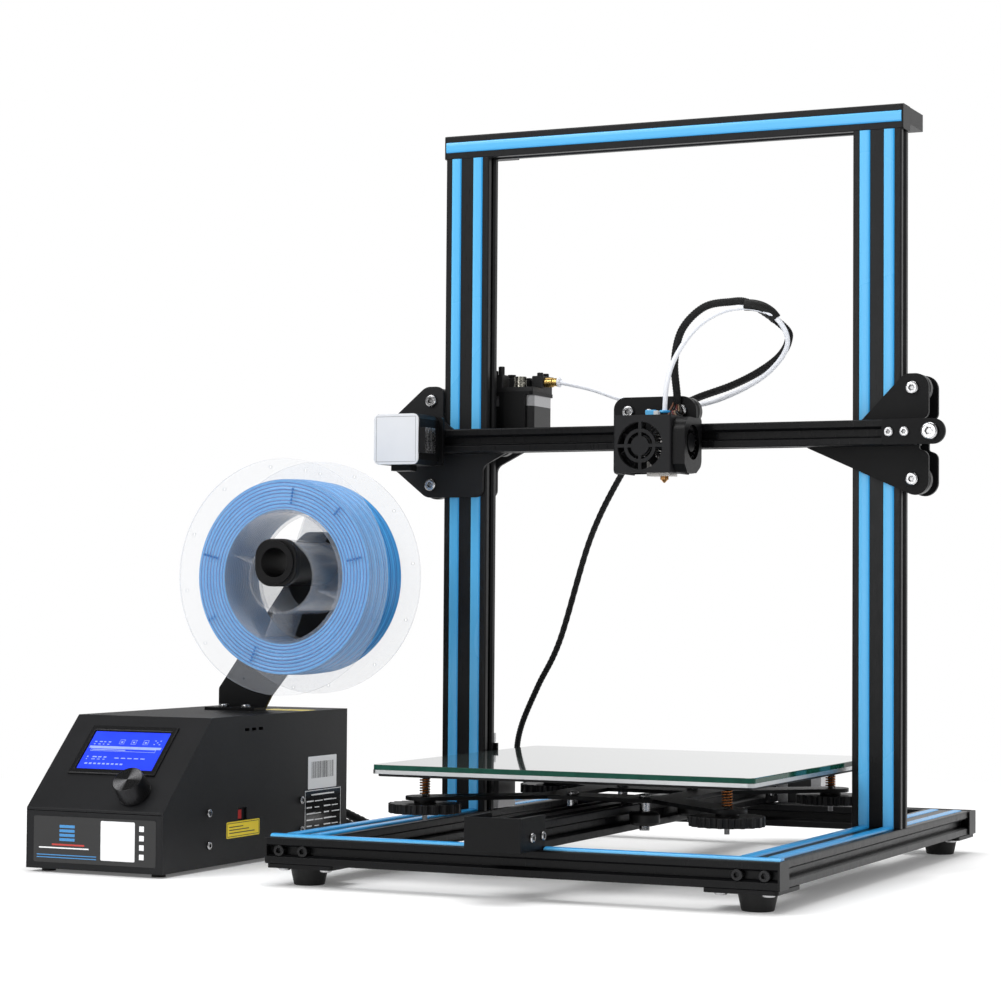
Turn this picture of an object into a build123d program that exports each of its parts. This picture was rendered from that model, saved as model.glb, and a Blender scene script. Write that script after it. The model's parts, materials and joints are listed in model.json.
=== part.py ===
from build123d import *
from math import atan2, cos, degrees, pi, radians, sin, sqrt
import os

# Desktop filament printer of open frame design, with its separate control box.
# Millimetres, +X to the right, +Y to the back, +Z up, z = 0 on the table.
# The pieces are drawn about the printer's own centre line, and save() moves them
# so that the row's origin is the middle of the whole footprint.

# ---------------------------------------------------------------- driving sizes
PRINTER_X = 89.0          # printer centre line, right of the footprint's middle
PRINTER_Y = -6.0
PITCH = 20.0              # extrusion module
HALF_W = 201.0            # outer face of the side rails
HALF_D = 261.0            # outer face of the front and rear bars
FOOT_H = 13.7             # rubber foot
PLATE_T = 3.0             # steel plates of base and gantry
BASE_Z = FOOT_H + PLATE_T             # underside of the base extrusions
RAIL_TOP = BASE_Z + PITCH             # top of the base extrusions
UPRIGHT_X = HALF_W - PITCH            # upright centre line
UPRIGHT_Y = 46.2                      # upright centre line
FRAME_TOP = 612.0                     # top of the top bar
TOP_BAR_Z = FRAME_TOP - PITCH
Y_RAIL_Z = RAIL_TOP + PITCH / 2       # centre of the bed rail

FOOT_X = 178.0            # rubber feet under their plates
FOOT_Y = 236.0
FOOT_PLATE_W = 55.0
FOOT_PLATE_D = 50.0
FOOT_SCREWS = ((-10.0, -10.0), (-45.0, -10.0), (-10.0, -40.0))    # from the frame's corner

BED = 310.0               # heated plate and glass, square
BED_Y = -26.6             # bed centre at rest
GLASS_T = 4.0
GLASS_TOP = 87.8
CARRIAGE_Z = 60.0         # underside of the bed carriage plate
LEVEL_AT = 124.0          # levelling screws, from the bed centre

BEAM_Y = 22.0             # centre of the X beam
BEAM_Z = 348.6
BEAM_X0 = -201.0
BEAM_X1 = 219.0
GANTRY_FRONT = BEAM_Y + PITCH / 2     # front face of the front gantry plates
GANTRY_REAR = 60.0                    # front face of the rear gantry plates
WHEEL_R = 11.95           # V wheel
WHEEL_W = 10.2
WHEEL_GAP = 10.35         # wheel axle to the extrusion face it rolls on
GANTRY_WHEEL_Z = 36.0     # outer gantry wheels above and below the beam centre
OUTER_X = HALF_W + WHEEL_GAP
INNER_X = HALF_W - 2 * PITCH - WHEEL_GAP

BELT_R = 5.65             # inside of the belt on its pulleys
BELT_T = 1.4
BELT_W = 6.0
X_PULLEY_X = -214.5
X_IDLER_X = 232.0
Y_IDLER_Y = -275.0
Y_PULLEY_Y = 284.0
Y_BELT_X = 10.0

SCREW_X = -180.0          # lead screw
SCREW_Y = 77.6
SCREW_R = 4.0
MOTOR = 42.3              # stepper motor face
MOTOR_SHAFT_R = 2.5
Z_MOTOR_FACE = RAIL_TOP + 34.5        # lift motor, mounting face
EXTRUDER_X = -153.5       # extruder motor axis
EXTRUDER_Y = 88.0
EXTRUDER_Z = 390.5        # mounting face of the extruder motor
FILAMENT_Y = EXTRUDER_Y + 6.4         # filament path beside the drive gear
FILAMENT_Z = 403.0
LEVER_X = -168.5          # pivot of the pinch lever
LEVER_Y = 103.0
IDLER_SCREW_XS = (199.0, 211.5)
LEFT_PLATE = [            # gantry plates: corners (x, z, radius)
    (-247.5, 327.0, 6), (-247.5, 371.0, 6), (-217.0, 396.8, 12), (-200.3, 396.8, 7), (-200.3, 367.0, 12),
    (-188.0, 358.0, 3), (-137.0, 358.0, 3), (-137.0, 341.0, 3), (-162.6, 328.0, 8), (-162.6, 301.8, 7),
    (-216.0, 301.8, 12),
]
RIGHT_PLATE = [
    (123.5, 338.9, 2), (136.0, 358.0, 3), (168.5, 358.4, 0), (205.0, 396.0, 10), (224.5, 396.0, 11),
    (224.5, 361.5, 6), (217.0, 359.0, 2), (217.0, 336.0, 2), (224.5, 333.5, 6), (224.5, 294.0, 11),
]

HEAD_FRONT = -34.0        # front of the fan cover
HEAD_BACK = 8.0           # front face of the head plate
NOZZLE_X = 17.5
NOZZLE_Y = -7.0
NOZZLE_Z = 310.0
FAN_X = 6.8
FAN_Z = 338.8
BLOWER_X = 33.4
BLOWER_Y = -11.5
BLOWER_Z = 342.0
HEAD_WHEELS = ((-20.0, 1), (26.0, 1), (3.0, -1))      # x, and above or below the beam

BOX_X0 = -419.0           # control box
BOX_X1 = -294.0
BOX_Y0 = -258.0
BOX_Y1 = 39.0
BOX_Z0 = 3.0
BOX_SLOPE_Z = 50.0        # foot of the sloping panel
BOX_SLOPE_Y = -187.0      # top edge of the sloping panel
BOX_TOP = 120.0
SHEET = 1.2
SCREEN_X = -358.2
SCREEN_S = 61.7           # display centre, up the sloping panel
KNOB_X = -327.0
KNOB_S = 18.0
BOX_SIDE_SCREWS = ((-190.5, 45.5), (-190.5, 20.0), (-41.0, 46.0), (-41.0, 21.0))
BOX_FAN_X = -330.0
BOX_FAN_Z = 88.0
ROCKER_X = -370.5         # mains switch
ROCKER_Y = BOX_Y1 - 3.0
ROCKER_Z = 34.0
SLOPE_RUN = BOX_SLOPE_Y - BOX_Y0
SLOPE_RISE = BOX_TOP - BOX_SLOPE_Z
SLOPE_ANGLE = degrees(atan2(SLOPE_RISE, SLOPE_RUN))
SLOPE = Plane(
    origin=(0, BOX_Y0, BOX_SLOPE_Z),
    x_dir=(1, 0, 0),
    z_dir=(0, -sin(radians(SLOPE_ANGLE)), cos(radians(SLOPE_ANGLE))),
)

SPOOL_X = -282.0          # spool
SPOOL_Z = 232.7
SPOOL_Y0 = -100.3
SPOOL_W = 61.7
SPOOL_R = 97.3
HUB_R = 28.8
TUBE_R = 17.4             # holder tube the spool hangs on
TUBE_Z = SPOOL_Z + HUB_R - TUBE_R
BRACKET_Y = -34.0
BRACKET_SCREW_XS = (-369.0, -347.0)

TURN = {
    "+z": Rot(0, 0, 0),
    "-z": Rot(180, 0, 0),
    "-y": Rot(90, 0, 0),
    "+y": Rot(-90, 0, 0),
    "+x": Rot(0, 90, 0),
    "-x": Rot(0, -90, 0),
}


# ---------------------------------------------------------------- small helpers
def slab(x0, x1, y0, y1, z0, z1):
    """Rectangular block between six planes."""
    middle = Pos((x0 + x1) / 2, (y0 + y1) / 2, (z0 + z1) / 2)
    return middle * Box(x1 - x0, y1 - y0, z1 - z0)


def rod(facing, centre, radius, length):
    """Round bar centred on a point."""
    return Pos(*centre) * TURN[facing] * Cylinder(radius, length)


def tube(facing, centre, outer, inner, length):
    """Round bar with a through bore."""
    return rod(facing, centre, outer, length) - rod(facing, centre, inner, length + 1)


def outline(corners):
    """Closed polygon whose corners are (x, y, radius)."""
    face = Polygon(*[(x, y) for x, y, radius in corners], align=None)
    for x, y, radius in corners:
        if radius:
            vertex = face.vertices().sort_by_distance((x, y, 0))[0]
            face = fillet(vertex, radius)
    return face


def plate_xz(corners, y0, y1):
    return Pos(0, y1, 0) * extrude(Plane.XZ * outline(corners), amount=y1 - y0, dir=(0, -1, 0))


def plate_yz(corners, x0, x1):
    return Pos(x0, 0, 0) * extrude(Plane.YZ * outline(corners), amount=x1 - x0, dir=(1, 0, 0))


def plate_xy(corners, z0, z1):
    return Pos(0, 0, z0) * extrude(outline(corners), amount=z1 - z0, dir=(0, 0, 1))


def rectangle(x0, x1, y0, y1, radius=0.0):
    return [(x0, y0, radius), (x1, y0, radius), (x1, y1, radius), (x0, y1, radius)]


def screw(at, facing, head_r=4.6, head_h=2.6, shank=PLATE_T, shank_r=2.5):
    """Socket screw whose head sits on the surface at a point and faces outwards."""
    head = Pos(0, 0, head_h / 2) * Cylinder(head_r, head_h)
    head = fillet(head.edges().group_by(Axis.Z)[-1], head_h * 0.45)
    socket = extrude(RegularPolygon(head_r * 0.5, 6), amount=head_h)
    head -= Pos(0, 0, head_h * 0.35) * socket
    if shank:
        head += Pos(0, 0, -shank / 2) * Cylinder(shank_r, shank)
    return Pos(*at) * TURN[facing] * head


def socket_cap(at, facing, head_r=4.25, head_h=5.0):
    """Tall cap head without shank, seated in a counterbore."""
    head = Pos(0, 0, head_h / 2) * Cylinder(head_r, head_h)
    head = chamfer(head.edges().group_by(Axis.Z)[-1], 0.5)
    head -= Pos(0, 0, head_h * 0.4) * extrude(RegularPolygon(2.4, 6), amount=head_h)
    return Pos(*at) * TURN[facing] * head


def group(*shapes):
    return [solid for shape in shapes for solid in shape.solids()]


def save(name, *shapes):
    """Write one node, moved so that the footprint's middle is the origin."""
    node = Pos(PRINTER_X, PRINTER_Y, 0) * Compound(children=group(*shapes))
    export_step(node, f"parts/{name}.step")


# ---------------------------------------------------------------- extrusions
def slot_outline():
    """Half section of one V slot, opening towards +Y at y = 10."""
    right = [(4.6, 10.0), (3.1, 8.2), (5.5, 8.2), (5.5, 6.4), (2.8, 3.9)]
    left = [(-x, y) for x, y in reversed(right)]
    return Polygon(*[(4.7, 10.2)], *right, *left, (-4.7, 10.2), align=None)


def extrusion(cells, length):
    """V slot bar along +Z from z = 0, its cells side by side along X."""
    section = RectangleRounded(PITCH * cells, PITCH, 1.2)
    centres = [(i - (cells - 1) / 2) * PITCH for i in range(cells)]
    for x in centres:
        section -= Pos(x, 0) * Circle(2.1)
        section -= Pos(x, 0) * slot_outline()
        section -= Pos(x, 0) * Rot(0, 0, 180) * slot_outline()
    section -= Pos(centres[0], 0) * Rot(0, 0, 90) * slot_outline()
    section -= Pos(centres[-1], 0) * Rot(0, 0, -90) * slot_outline()
    for left, right in zip(centres, centres[1:]):
        section -= Pos((left + right) / 2, 0) * Rectangle(7.0, 9.0)
    return extrude(section, amount=length)


def along_x(bar, x0, y, z):
    return Pos(x0, y, z) * Rot(0, 90, 0) * bar


def along_y(bar, x, y1, z):
    return Pos(x, y1, z) * Rot(90, 0, 0) * bar


def slot_strip(origin, along, facing, length, rise):
    """Push-in cover of one slot, its domed face standing proud of a bar centred on the origin."""
    dome = [(1.6, 10 + rise), (3.2, 10 + 0.85 * rise), (4.1, 10 + 0.5 * rise)]
    right = dome + [(4.4, 10.0), (3.2, 8.6), (2.6, 6.9)]
    left = [(-x, y) for x, y in reversed(right)]
    strip = extrude(Polygon(*right, *left, align=None), amount=length, dir=(0, 0, 1))
    across = Vector(*facing).cross(Vector(*along))
    return Plane(origin=origin, x_dir=across, z_dir=along).location * strip


def cross_bars():
    bar = extrusion(1, 2 * HALF_W)
    front = along_x(bar, -HALF_W, -HALF_D + PITCH / 2, BASE_Z + PITCH / 2)
    rear = along_x(bar, -HALF_W, HALF_D - PITCH / 2, BASE_Z + PITCH / 2)
    for x in corner_screw_xs():
        front -= rod("-y", (x, -HALF_D, BASE_Z + PITCH / 2), 4.6, 10)
        rear -= rod("+y", (x, HALF_D, BASE_Z + PITCH / 2), 4.6, 10)
    top = along_x(bar, -HALF_W, UPRIGHT_Y, TOP_BAR_Z + PITCH / 2)
    for x in upright_bolt_xs():
        top -= rod("+z", (x, UPRIGHT_Y, FRAME_TOP), 4.6, 12)
    save("cross_bars", front, rear, top)


def upright_bolt_xs():
    return [side * UPRIGHT_X + cell * PITCH / 2 for side in (-1, 1) for cell in (-1, 1)]


def corner_screw_xs():
    near = HALF_W - PITCH / 2
    return [-near, -near + PITCH, near - PITCH, near]


def base_side_rails():
    length = 2 * (HALF_D - PITCH)
    rails = []
    for side in (-1, 1):
        rails.append(along_y(extrusion(2, length), side * UPRIGHT_X, HALF_D - PITCH, BASE_Z + PITCH / 2))
    save("base_side_rails", *rails)


def uprights():
    bars = []
    for side in (-1, 1):
        bars.append(Pos(side * UPRIGHT_X, UPRIGHT_Y, RAIL_TOP) * extrusion(2, TOP_BAR_Z - RAIL_TOP))
    save("uprights", *bars)


def y_rail():
    save("y_rail", along_y(extrusion(2, 2 * HALF_D), 0, HALF_D, Y_RAIL_Z))


def slot_covers():
    """Strips on the side rails, the front bar, the uprights and the top bar."""
    strips = []
    gap = 1.0
    front_of_upright = UPRIGHT_Y - PITCH / 2 - gap
    behind_upright = UPRIGHT_Y + PITCH / 2 + gap
    rail_end = HALF_D - PITCH
    base_z = BASE_Z + PITCH / 2
    bracket_gap = 23.0
    up, front, right, back = (0, 0, 1), (0, -1, 0), (1, 0, 0), (0, 1, 0)
    for side in (-1, 1):
        for cell in (-1, 1):
            x = side * UPRIGHT_X + cell * PITCH / 2
            strips.append(slot_strip((x, -rail_end, base_z), back, up, front_of_upright + rail_end, 2.0))
            strips.append(slot_strip((x, behind_upright, base_z), back, up, rail_end - behind_upright, 0.8))
            strips.append(slot_strip((x, UPRIGHT_Y, RAIL_TOP), up, front, TOP_BAR_Z - RAIL_TOP, 0.8))
        start = bracket_gap if side > 0 else -HALF_W
        strips.append(slot_strip((start, -HALF_D + PITCH / 2, base_z), right, up, HALF_W - bracket_gap, 2.0))
    strips.append(slot_strip((-HALF_W, UPRIGHT_Y, TOP_BAR_Z + PITCH / 2), right, front, 2 * HALF_W, 0.8))
    save("slot_covers", *strips)


def bar_end_caps():
    cap_t = 1.5
    caps = []
    for side in (-1, 1):
        x0 = HALF_W if side > 0 else -HALF_W - cap_t
        for y, z in ((-HALF_D + 10, BASE_Z + 10), (HALF_D - 10, BASE_Z + 10), (UPRIGHT_Y, TOP_BAR_Z + 10)):
            caps.append(plate_yz(rectangle(y - 10, y + 10, z - 10, z + 10, 1.5), x0, x0 + cap_t))
    save("bar_end_caps", *caps)


# ---------------------------------------------------------------- base
def foot_screw_points():
    """Screws of each foot plate: offsets from the frame's corner."""
    points = []
    for sx in (-1, 1):
        for sy in (-1, 1):
            for dx, dy in FOOT_SCREWS:
                points.append((sx * (HALF_W + dx), sy * (HALF_D + dy)))
    return points


def foot_plates():
    plates = []
    for sx in (-1, 1):
        for sy in (-1, 1):
            x0, x1 = sorted((sx * HALF_W, sx * (HALF_W - FOOT_PLATE_W)))
            y0, y1 = sorted((sy * HALF_D, sy * (HALF_D - FOOT_PLATE_D)))
            plate = plate_xy(rectangle(x0, x1, y0, y1, 3), FOOT_H, BASE_Z)
            for x, y in foot_screw_points():
                if x0 < x < x1 and y0 < y < y1:
                    plate -= rod("+z", (x, y, BASE_Z - PLATE_T / 2), 2.6, PLATE_T + 1)
            plates.append(plate)
    save("foot_plates", *plates)


def rubber_feet():
    feet = []
    for sx in (-1, 1):
        for sy in (-1, 1):
            foot = Pos(sx * FOOT_X, sy * FOOT_Y, FOOT_H / 2) * Cone(11.5, 14.5, FOOT_H)
            foot -= rod("+z", (sx * FOOT_X, sy * FOOT_Y, 0), 3.2, 8)
            feet.append(fillet(foot.edges().group_by(Axis.Z)[0].sort_by(SortBy.LENGTH)[-1], 1.2))
    for x in (BOX_X0 + 12, BOX_X1 - 12):
        for y in (BOX_Y0 + 14, BOX_Y1 - 14):
            feet.append(rod("+z", (x, y, BOX_Z0 / 2), 5.5, BOX_Z0))
    save("rubber_feet", *feet)


def top_corner_blocks():
    blocks = []
    y0 = UPRIGHT_Y + PITCH / 2
    for side in (-1, 1):
        x0, x1 = sorted((side * (HALF_W + 1), side * (HALF_W - 42)))
        block = plate_xy(rectangle(x0, x1, y0, y0 + 40, 2), FRAME_TOP - 13.5, FRAME_TOP)
        blocks.append(block)
    blocks[0] -= rod("+z", (SCREW_X, SCREW_Y, FRAME_TOP), SCREW_R + 0.3, 40)
    save("top_corner_blocks", *blocks)


def frame_brackets():
    """Front idler bracket, rear motor bracket and Z motor bracket."""
    half = 22.0
    wall = 1.8
    front_y = -293.0
    low = RAIL_TOP + 0.3
    high = RAIL_TOP + 24.6
    front = slab(-half, half, front_y, -250, low, high)
    front -= slab(-half + wall, half - wall, front_y + wall, -249, low + wall, high + 1)
    front -= slab(-half + wall, half - wall, -HALF_D - 0.1, -249, low - 1, high + 1)
    front -= rod("+x", (0, Y_IDLER_Y, Y_RAIL_Z), 2.6, 3 * half)
    front -= rod("+x", (0, -255.5, Y_RAIL_Z), 2.6, 3 * half)
    rear_profile = rectangle(236, Y_PULLEY_Y + 21, RAIL_TOP + 0.4, Y_RAIL_Z + 21, 3)
    rear = plate_yz(rear_profile, 20.0, 22.5)
    rear -= rod("+x", (21, Y_PULLEY_Y, Y_RAIL_Z), 11.3, 10)
    for y in (243, 256):
        rear -= rod("+x", (21, y, Y_RAIL_Z), 2.6, 10)
    z_face = Z_MOTOR_FACE
    z_plate = plate_xy(rectangle(-200.5, -158.5, 56.3, 99.5, 2), z_face, z_face + 3)
    z_plate += slab(-200.5, -158.5, 56.2, 58.7, z_face, z_face + 22)
    z_plate -= rod("+z", (SCREW_X, SCREW_Y, z_face), 11.3, 20)
    for x in (-191, -171):
        z_plate -= rod("+y", (x, 57, z_face + 13), 2.6, 10)
    save("frame_brackets", front, rear, z_plate)


def stepper(length):
    """Stepper motor below its face at z = 0, with a bored centring boss above it."""
    body = extrude(outline(rectangle(-MOTOR / 2, MOTOR / 2, -MOTOR / 2, MOTOR / 2)), amount=-length)
    body = chamfer(body.edges().filter_by(Axis.Z), 4.0)
    body -= Pos(0, 0, -length / 2) * (Box(60, 60, length - 18) - Cylinder(27.2, length))
    boss = Pos(0, 0, 1) * Cylinder(11, 2)
    bore = Pos(0, 0, -4) * Cylinder(MOTOR_SHAFT_R + 0.05, 14)
    plug = Pos(0, 0, -length / 2 - 2) * slab(-9, 9, -MOTOR / 2 - 5, -MOTOR / 2 + 2, -8, 4)
    return body + boss + plug - bore


def frame_motors():
    bed_motor = Pos(22.5, Y_PULLEY_Y, Y_RAIL_Z) * Rot(0, -90, 0) * Rot(0, 0, 90) * stepper(40)
    lift_motor = Pos(SCREW_X, SCREW_Y, Z_MOTOR_FACE) * Rot(0, 0, 180) * stepper(33.5)
    save("frame_motors", bed_motor, lift_motor)


def belt_loop(a, b):
    """Flat belt round two pulleys, centred on z = 0, its run along X."""
    run = b - a
    outer = SlotCenterToCenter(run, 2 * (BELT_R + BELT_T))
    inner = SlotCenterToCenter(run, 2 * BELT_R)
    return Pos((a + b) / 2, 0, -BELT_W / 2) * extrude(outer - inner, amount=BELT_W)


def pulley(radius=BELT_R - 0.05, bore=0.0, shaft=0.0):
    """Toothless pulley about +Z, with two flanges and either a bore or a shaft."""
    body = Cylinder(radius, BELT_W + 0.6)
    for side in (-1, 1):
        body += Pos(0, 0, side * (BELT_W / 2 + 0.8)) * Cylinder(7.9, 1.0)
    if shaft:
        body += Pos(0, 0, shaft / 2) * Cylinder(MOTOR_SHAFT_R, shaft)
    if bore:
        body -= Cylinder(bore, 40)
    return body


def y_belt():
    upright = Rot(0, 0, 90) * Rot(90, 0, 0) * belt_loop(Y_IDLER_Y, Y_PULLEY_Y)
    save("y_belt", Pos(Y_BELT_X, 0, Y_RAIL_Z) * upright)


def y_pulleys():
    save("y_pulley", Pos(Y_BELT_X, Y_PULLEY_Y, Y_RAIL_Z) * Rot(0, 90, 0) * pulley(shaft=15))
    save("y_idler", Pos(Y_BELT_X, Y_IDLER_Y, Y_RAIL_Z) * Rot(0, 90, 0) * pulley(bore=2.55))


def frame_bolts():
    """Black socket screws of the extrusion joints."""
    bolts = []
    z = BASE_Z + PITCH / 2
    for x in corner_screw_xs():
        bolts.append(socket_cap((x, -HALF_D + 5, z), "-y"))
        bolts.append(socket_cap((x, HALF_D - 5, z), "+y"))
    for x in (-191, -171):
        bolts.append(screw((x, 58.7, Z_MOTOR_FACE + 13), "+y", head_h=1.2, shank=2.5))
    for x in upright_bolt_xs():
        bolts.append(socket_cap((x, UPRIGHT_Y, FRAME_TOP - 6.0), "+z"))
    save("frame_bolts", *bolts)


def button_screws():
    """Bright button screws of the feet, the idler bracket and the control box."""
    screws = []
    for x, y in foot_screw_points():
        screws.append(screw((x, y, FOOT_H), "-z", head_h=2.2))
    half = 22.0
    axle = rod("+x", (0, Y_IDLER_Y, Y_RAIL_Z), 2.5, 2 * half)
    screws.append(axle + screw((half, Y_IDLER_Y, Y_RAIL_Z), "+x", 3.6, 2.4, shank=1))
    screws.append(screw((half, -255.5, Y_RAIL_Z), "+x", 3.3, 2.0, shank=1.8))
    screws.append(screw((-half, -255.5, Y_RAIL_Z), "-x", 3.3, 2.0, shank=1.8))
    for y in (243, 256):
        screws.append(screw((22.5, y, Y_RAIL_Z), "+x", 4.2, 2.2, shank=2.4))
    for y, z in BOX_SIDE_SCREWS:
        screws.append(screw((BOX_X1, y, z), "+x", 3.2, 1.8, shank=0))
        screws.append(screw((BOX_X0, y, z), "-x", 3.2, 1.8, shank=0))
    for x in BRACKET_SCREW_XS:
        screws.append(screw((x, BRACKET_Y - 9, BOX_TOP + 2.5), "+z", 4.4, 2.4, shank=0))
    save("button_screws", *screws)


# ---------------------------------------------------------------- bed
def carriage_plate():
    half_x, half_y, arm = 60.0, 70.0, 15.0
    middle = rectangle(-half_x, half_x, BED_Y - half_y, BED_Y + half_y, 8)
    plate = plate_xy(middle, CARRIAGE_Z, CARRIAGE_Z + PLATE_T)
    for sx in (-1, 1):
        for sy in (-1, 1):
            centre = (sx * LEVEL_AT, BED_Y + sy * LEVEL_AT)
            start = (sx * (half_x - 22), BED_Y + sy * (half_y - 26))
            angle = degrees(atan2(centre[1] - start[1], centre[0] - start[0]))
            reach = sqrt((centre[0] - start[0]) ** 2 + (centre[1] - start[1]) ** 2)
            bar = Pos(*start) * Rot(0, 0, angle) * Pos(reach / 2, 0) * Rectangle(reach, 2 * arm)
            end = Pos(*centre) * Circle(arm)
            plate += Pos(0, 0, CARRIAGE_Z) * extrude(bar + end, amount=PLATE_T)
    plate -= slab(-34, 34, BED_Y - 30, BED_Y + 30, CARRIAGE_Z - 1, CARRIAGE_Z + 5)
    for x, y in level_points():
        plate -= rod("+z", (x, y, CARRIAGE_Z), 2.3, 20)
    for x, y in bed_wheel_points():
        plate -= rod("+z", (x, y, CARRIAGE_Z), 2.6, 20)
    save("carriage_plate", plate)


def level_points():
    return [(sx * LEVEL_AT, BED_Y + sy * LEVEL_AT) for sx in (-1, 1) for sy in (-1, 1)]


def bed_wheel_points():
    x = PITCH + WHEEL_GAP
    return [(sx * x, BED_Y + sy * 52.0) for sx in (-1, 1) for sy in (-1, 1)]


def v_wheel(facing, centre):
    """Grooved-rail wheel: flat rim with 45 degree flanks, bored for its axle."""
    half = WHEEL_W / 2
    rim = 2.95
    flank_r = 9.77
    section = Polygon(
        (2.55, -half), (flank_r, -half), (WHEEL_R, -rim), (WHEEL_R, rim), (flank_r, half), (2.55, half),
        align=None,
    )
    wheel = revolve(Plane.XZ * section, axis=Axis.Z)
    groove = Cylinder(7.4, 1.0) - Cylinder(4.4, 1.0)
    for side in (-1, 1):
        wheel -= Pos(0, 0, side * half) * groove
    return Pos(*centre) * TURN[facing] * wheel


def bed_wheels():
    save("bed_wheels", *[v_wheel("+z", (x, y, Y_RAIL_Z)) for x, y in bed_wheel_points()])


def bed_hardware():
    """Levelling screws, wheel axles with spacers, and the belt clamp."""
    pieces = []
    plate_low = GLASS_TOP - GLASS_T - PLATE_T
    for x, y in level_points():
        shank = rod("+z", (x, y, (44 + plate_low + 1.5) / 2), 2.0, plate_low + 1.5 - 44)
        pieces.append(shank + rod("+z", (x, y, plate_low + 2.25), 3.9, 1.5))
    wheel_low = Y_RAIL_Z - WHEEL_W / 2
    wheel_high = Y_RAIL_Z + WHEEL_W / 2
    for x, y in bed_wheel_points():
        axle = screw((x, y, CARRIAGE_Z + PLATE_T), "+z", shank=CARRIAGE_Z + PLATE_T - wheel_low + 4)
        pieces.append(axle + tube("+z", (x, y, wheel_low - 2.1), 4.0, 2.4, 4.0))
        spacer = CARRIAGE_Z - wheel_high - 0.1
        pieces.append(tube("+z", (x, y, (wheel_high + CARRIAGE_Z) / 2), 4.0, 2.55, spacer))
    belt_top = Y_RAIL_Z + BELT_R + BELT_T
    pieces.append(slab(Y_BELT_X - 2.4, Y_BELT_X + 2.4, BED_Y - 44, BED_Y - 34, belt_top + 0.1, CARRIAGE_Z))
    save("bed_hardware", *pieces)


def bed_springs():
    """Compression springs between the carriage and the heated plate."""
    low = CARRIAGE_Z + PLATE_T
    high = GLASS_TOP - GLASS_T - PLATE_T
    wire = 0.6
    coil = Helix(pitch=(high - low - 2 * wire - 0.2) / 8, height=high - low - 2 * wire - 0.2, radius=3.6)
    section = Plane(origin=coil @ 0, z_dir=coil % 0) * Circle(wire)
    spring = sweep(section, path=coil)
    save("bed_springs", *[Pos(x, y, low + wire + 0.1) * spring for x, y in level_points()])


def heated_bed():
    """Aluminium plate with its insulation sheet below."""
    half = BED / 2
    plate_high = GLASS_TOP - GLASS_T
    plate_low = plate_high - PLATE_T
    sheet_low = plate_low - 2.0
    square = rectangle(-half, half, BED_Y - half, BED_Y + half, 5)
    plate = plate_xy(square, plate_low, plate_high)
    inner = rectangle(-half + 3, half - 3, BED_Y - half + 3, BED_Y + half - 3, 5)
    sheet = plate_xy(inner, sheet_low, plate_low)
    for x, y in level_points():
        plate -= rod("+z", (x, y, plate_high), 2.1, 10)
        plate -= rod("+z", (x, y, plate_high), 4.1, 3.2)
        sheet -= rod("+z", (x, y, sheet_low), 8.0, 10)
    save("heated_bed", plate, sheet)


def glass_plate():
    half = BED / 2
    square = rectangle(-half, half, BED_Y - half, BED_Y + half, 6)
    plate = plate_xy(square, GLASS_TOP - GLASS_T, GLASS_TOP)
    save("glass_plate", chamfer(plate.edges().group_by(Axis.Z)[-1], 0.4))


def levelling_knob(x, y):
    """Scalloped thumb wheel under the carriage plate."""
    radius, low, high = 28.3, 50.0, CARRIAGE_Z - 0.2
    face = Circle(radius)
    lobes = 20
    for i in range(lobes):
        angle = 2 * pi * i / lobes
        face -= Pos((radius + 0.9) * cos(angle), (radius + 0.9) * sin(angle)) * Circle(3.1)
    wheel = Pos(0, 0, low) * extrude(face, amount=7.5)
    wheel = fillet(wheel.edges().group_by(Axis.Z)[0], 0.6)
    wheel += Pos(0, 0, (low + high) / 2) * Cylinder(8.5, high - low)
    wheel -= Pos(0, 0, low) * (Cylinder(21, 5) - Cylinder(11, 5))
    wheel -= Cylinder(2.05, 300)
    return Pos(x, y, 0) * wheel


def levelling_knobs():
    names = ("rear", "front")
    for sx, side in ((-1, "left"), (1, "right")):
        for sy, end in ((1, names[0]), (-1, names[1])):
            save(f"level_knob_{end}_{side}", levelling_knob(sx * LEVEL_AT, BED_Y + sy * LEVEL_AT))


# ---------------------------------------------------------------- gantry
def x_beam():
    bar = along_x(extrusion(1, BEAM_X1 - BEAM_X0), BEAM_X0, BEAM_Y, BEAM_Z)
    save("x_beam", bar)


def wheel_bolt_points(side):
    """Outer wheels above and below the beam, inner wheel at the beam's height."""
    outer = side * OUTER_X
    return [(outer, BEAM_Z + GANTRY_WHEEL_Z), (outer, BEAM_Z - GANTRY_WHEEL_Z), (side * INNER_X, BEAM_Z)]


def gantry_plates(name, corners, side):
    plates = []
    for y0 in (GANTRY_FRONT, GANTRY_REAR):
        plate = plate_xz(corners, y0, y0 + PLATE_T)
        for x, z in wheel_bolt_points(side):
            plate -= rod("+y", (x, y0, z), 2.6, 20)
        plates.append(plate)
    save(name, *plates)


def gantry_wheels():
    wheels = []
    for side in (-1, 1):
        for x, z in wheel_bolt_points(side):
            wheels.append(v_wheel("+y", (x, UPRIGHT_Y, z)))
    save("gantry_wheels", *wheels)


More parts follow.
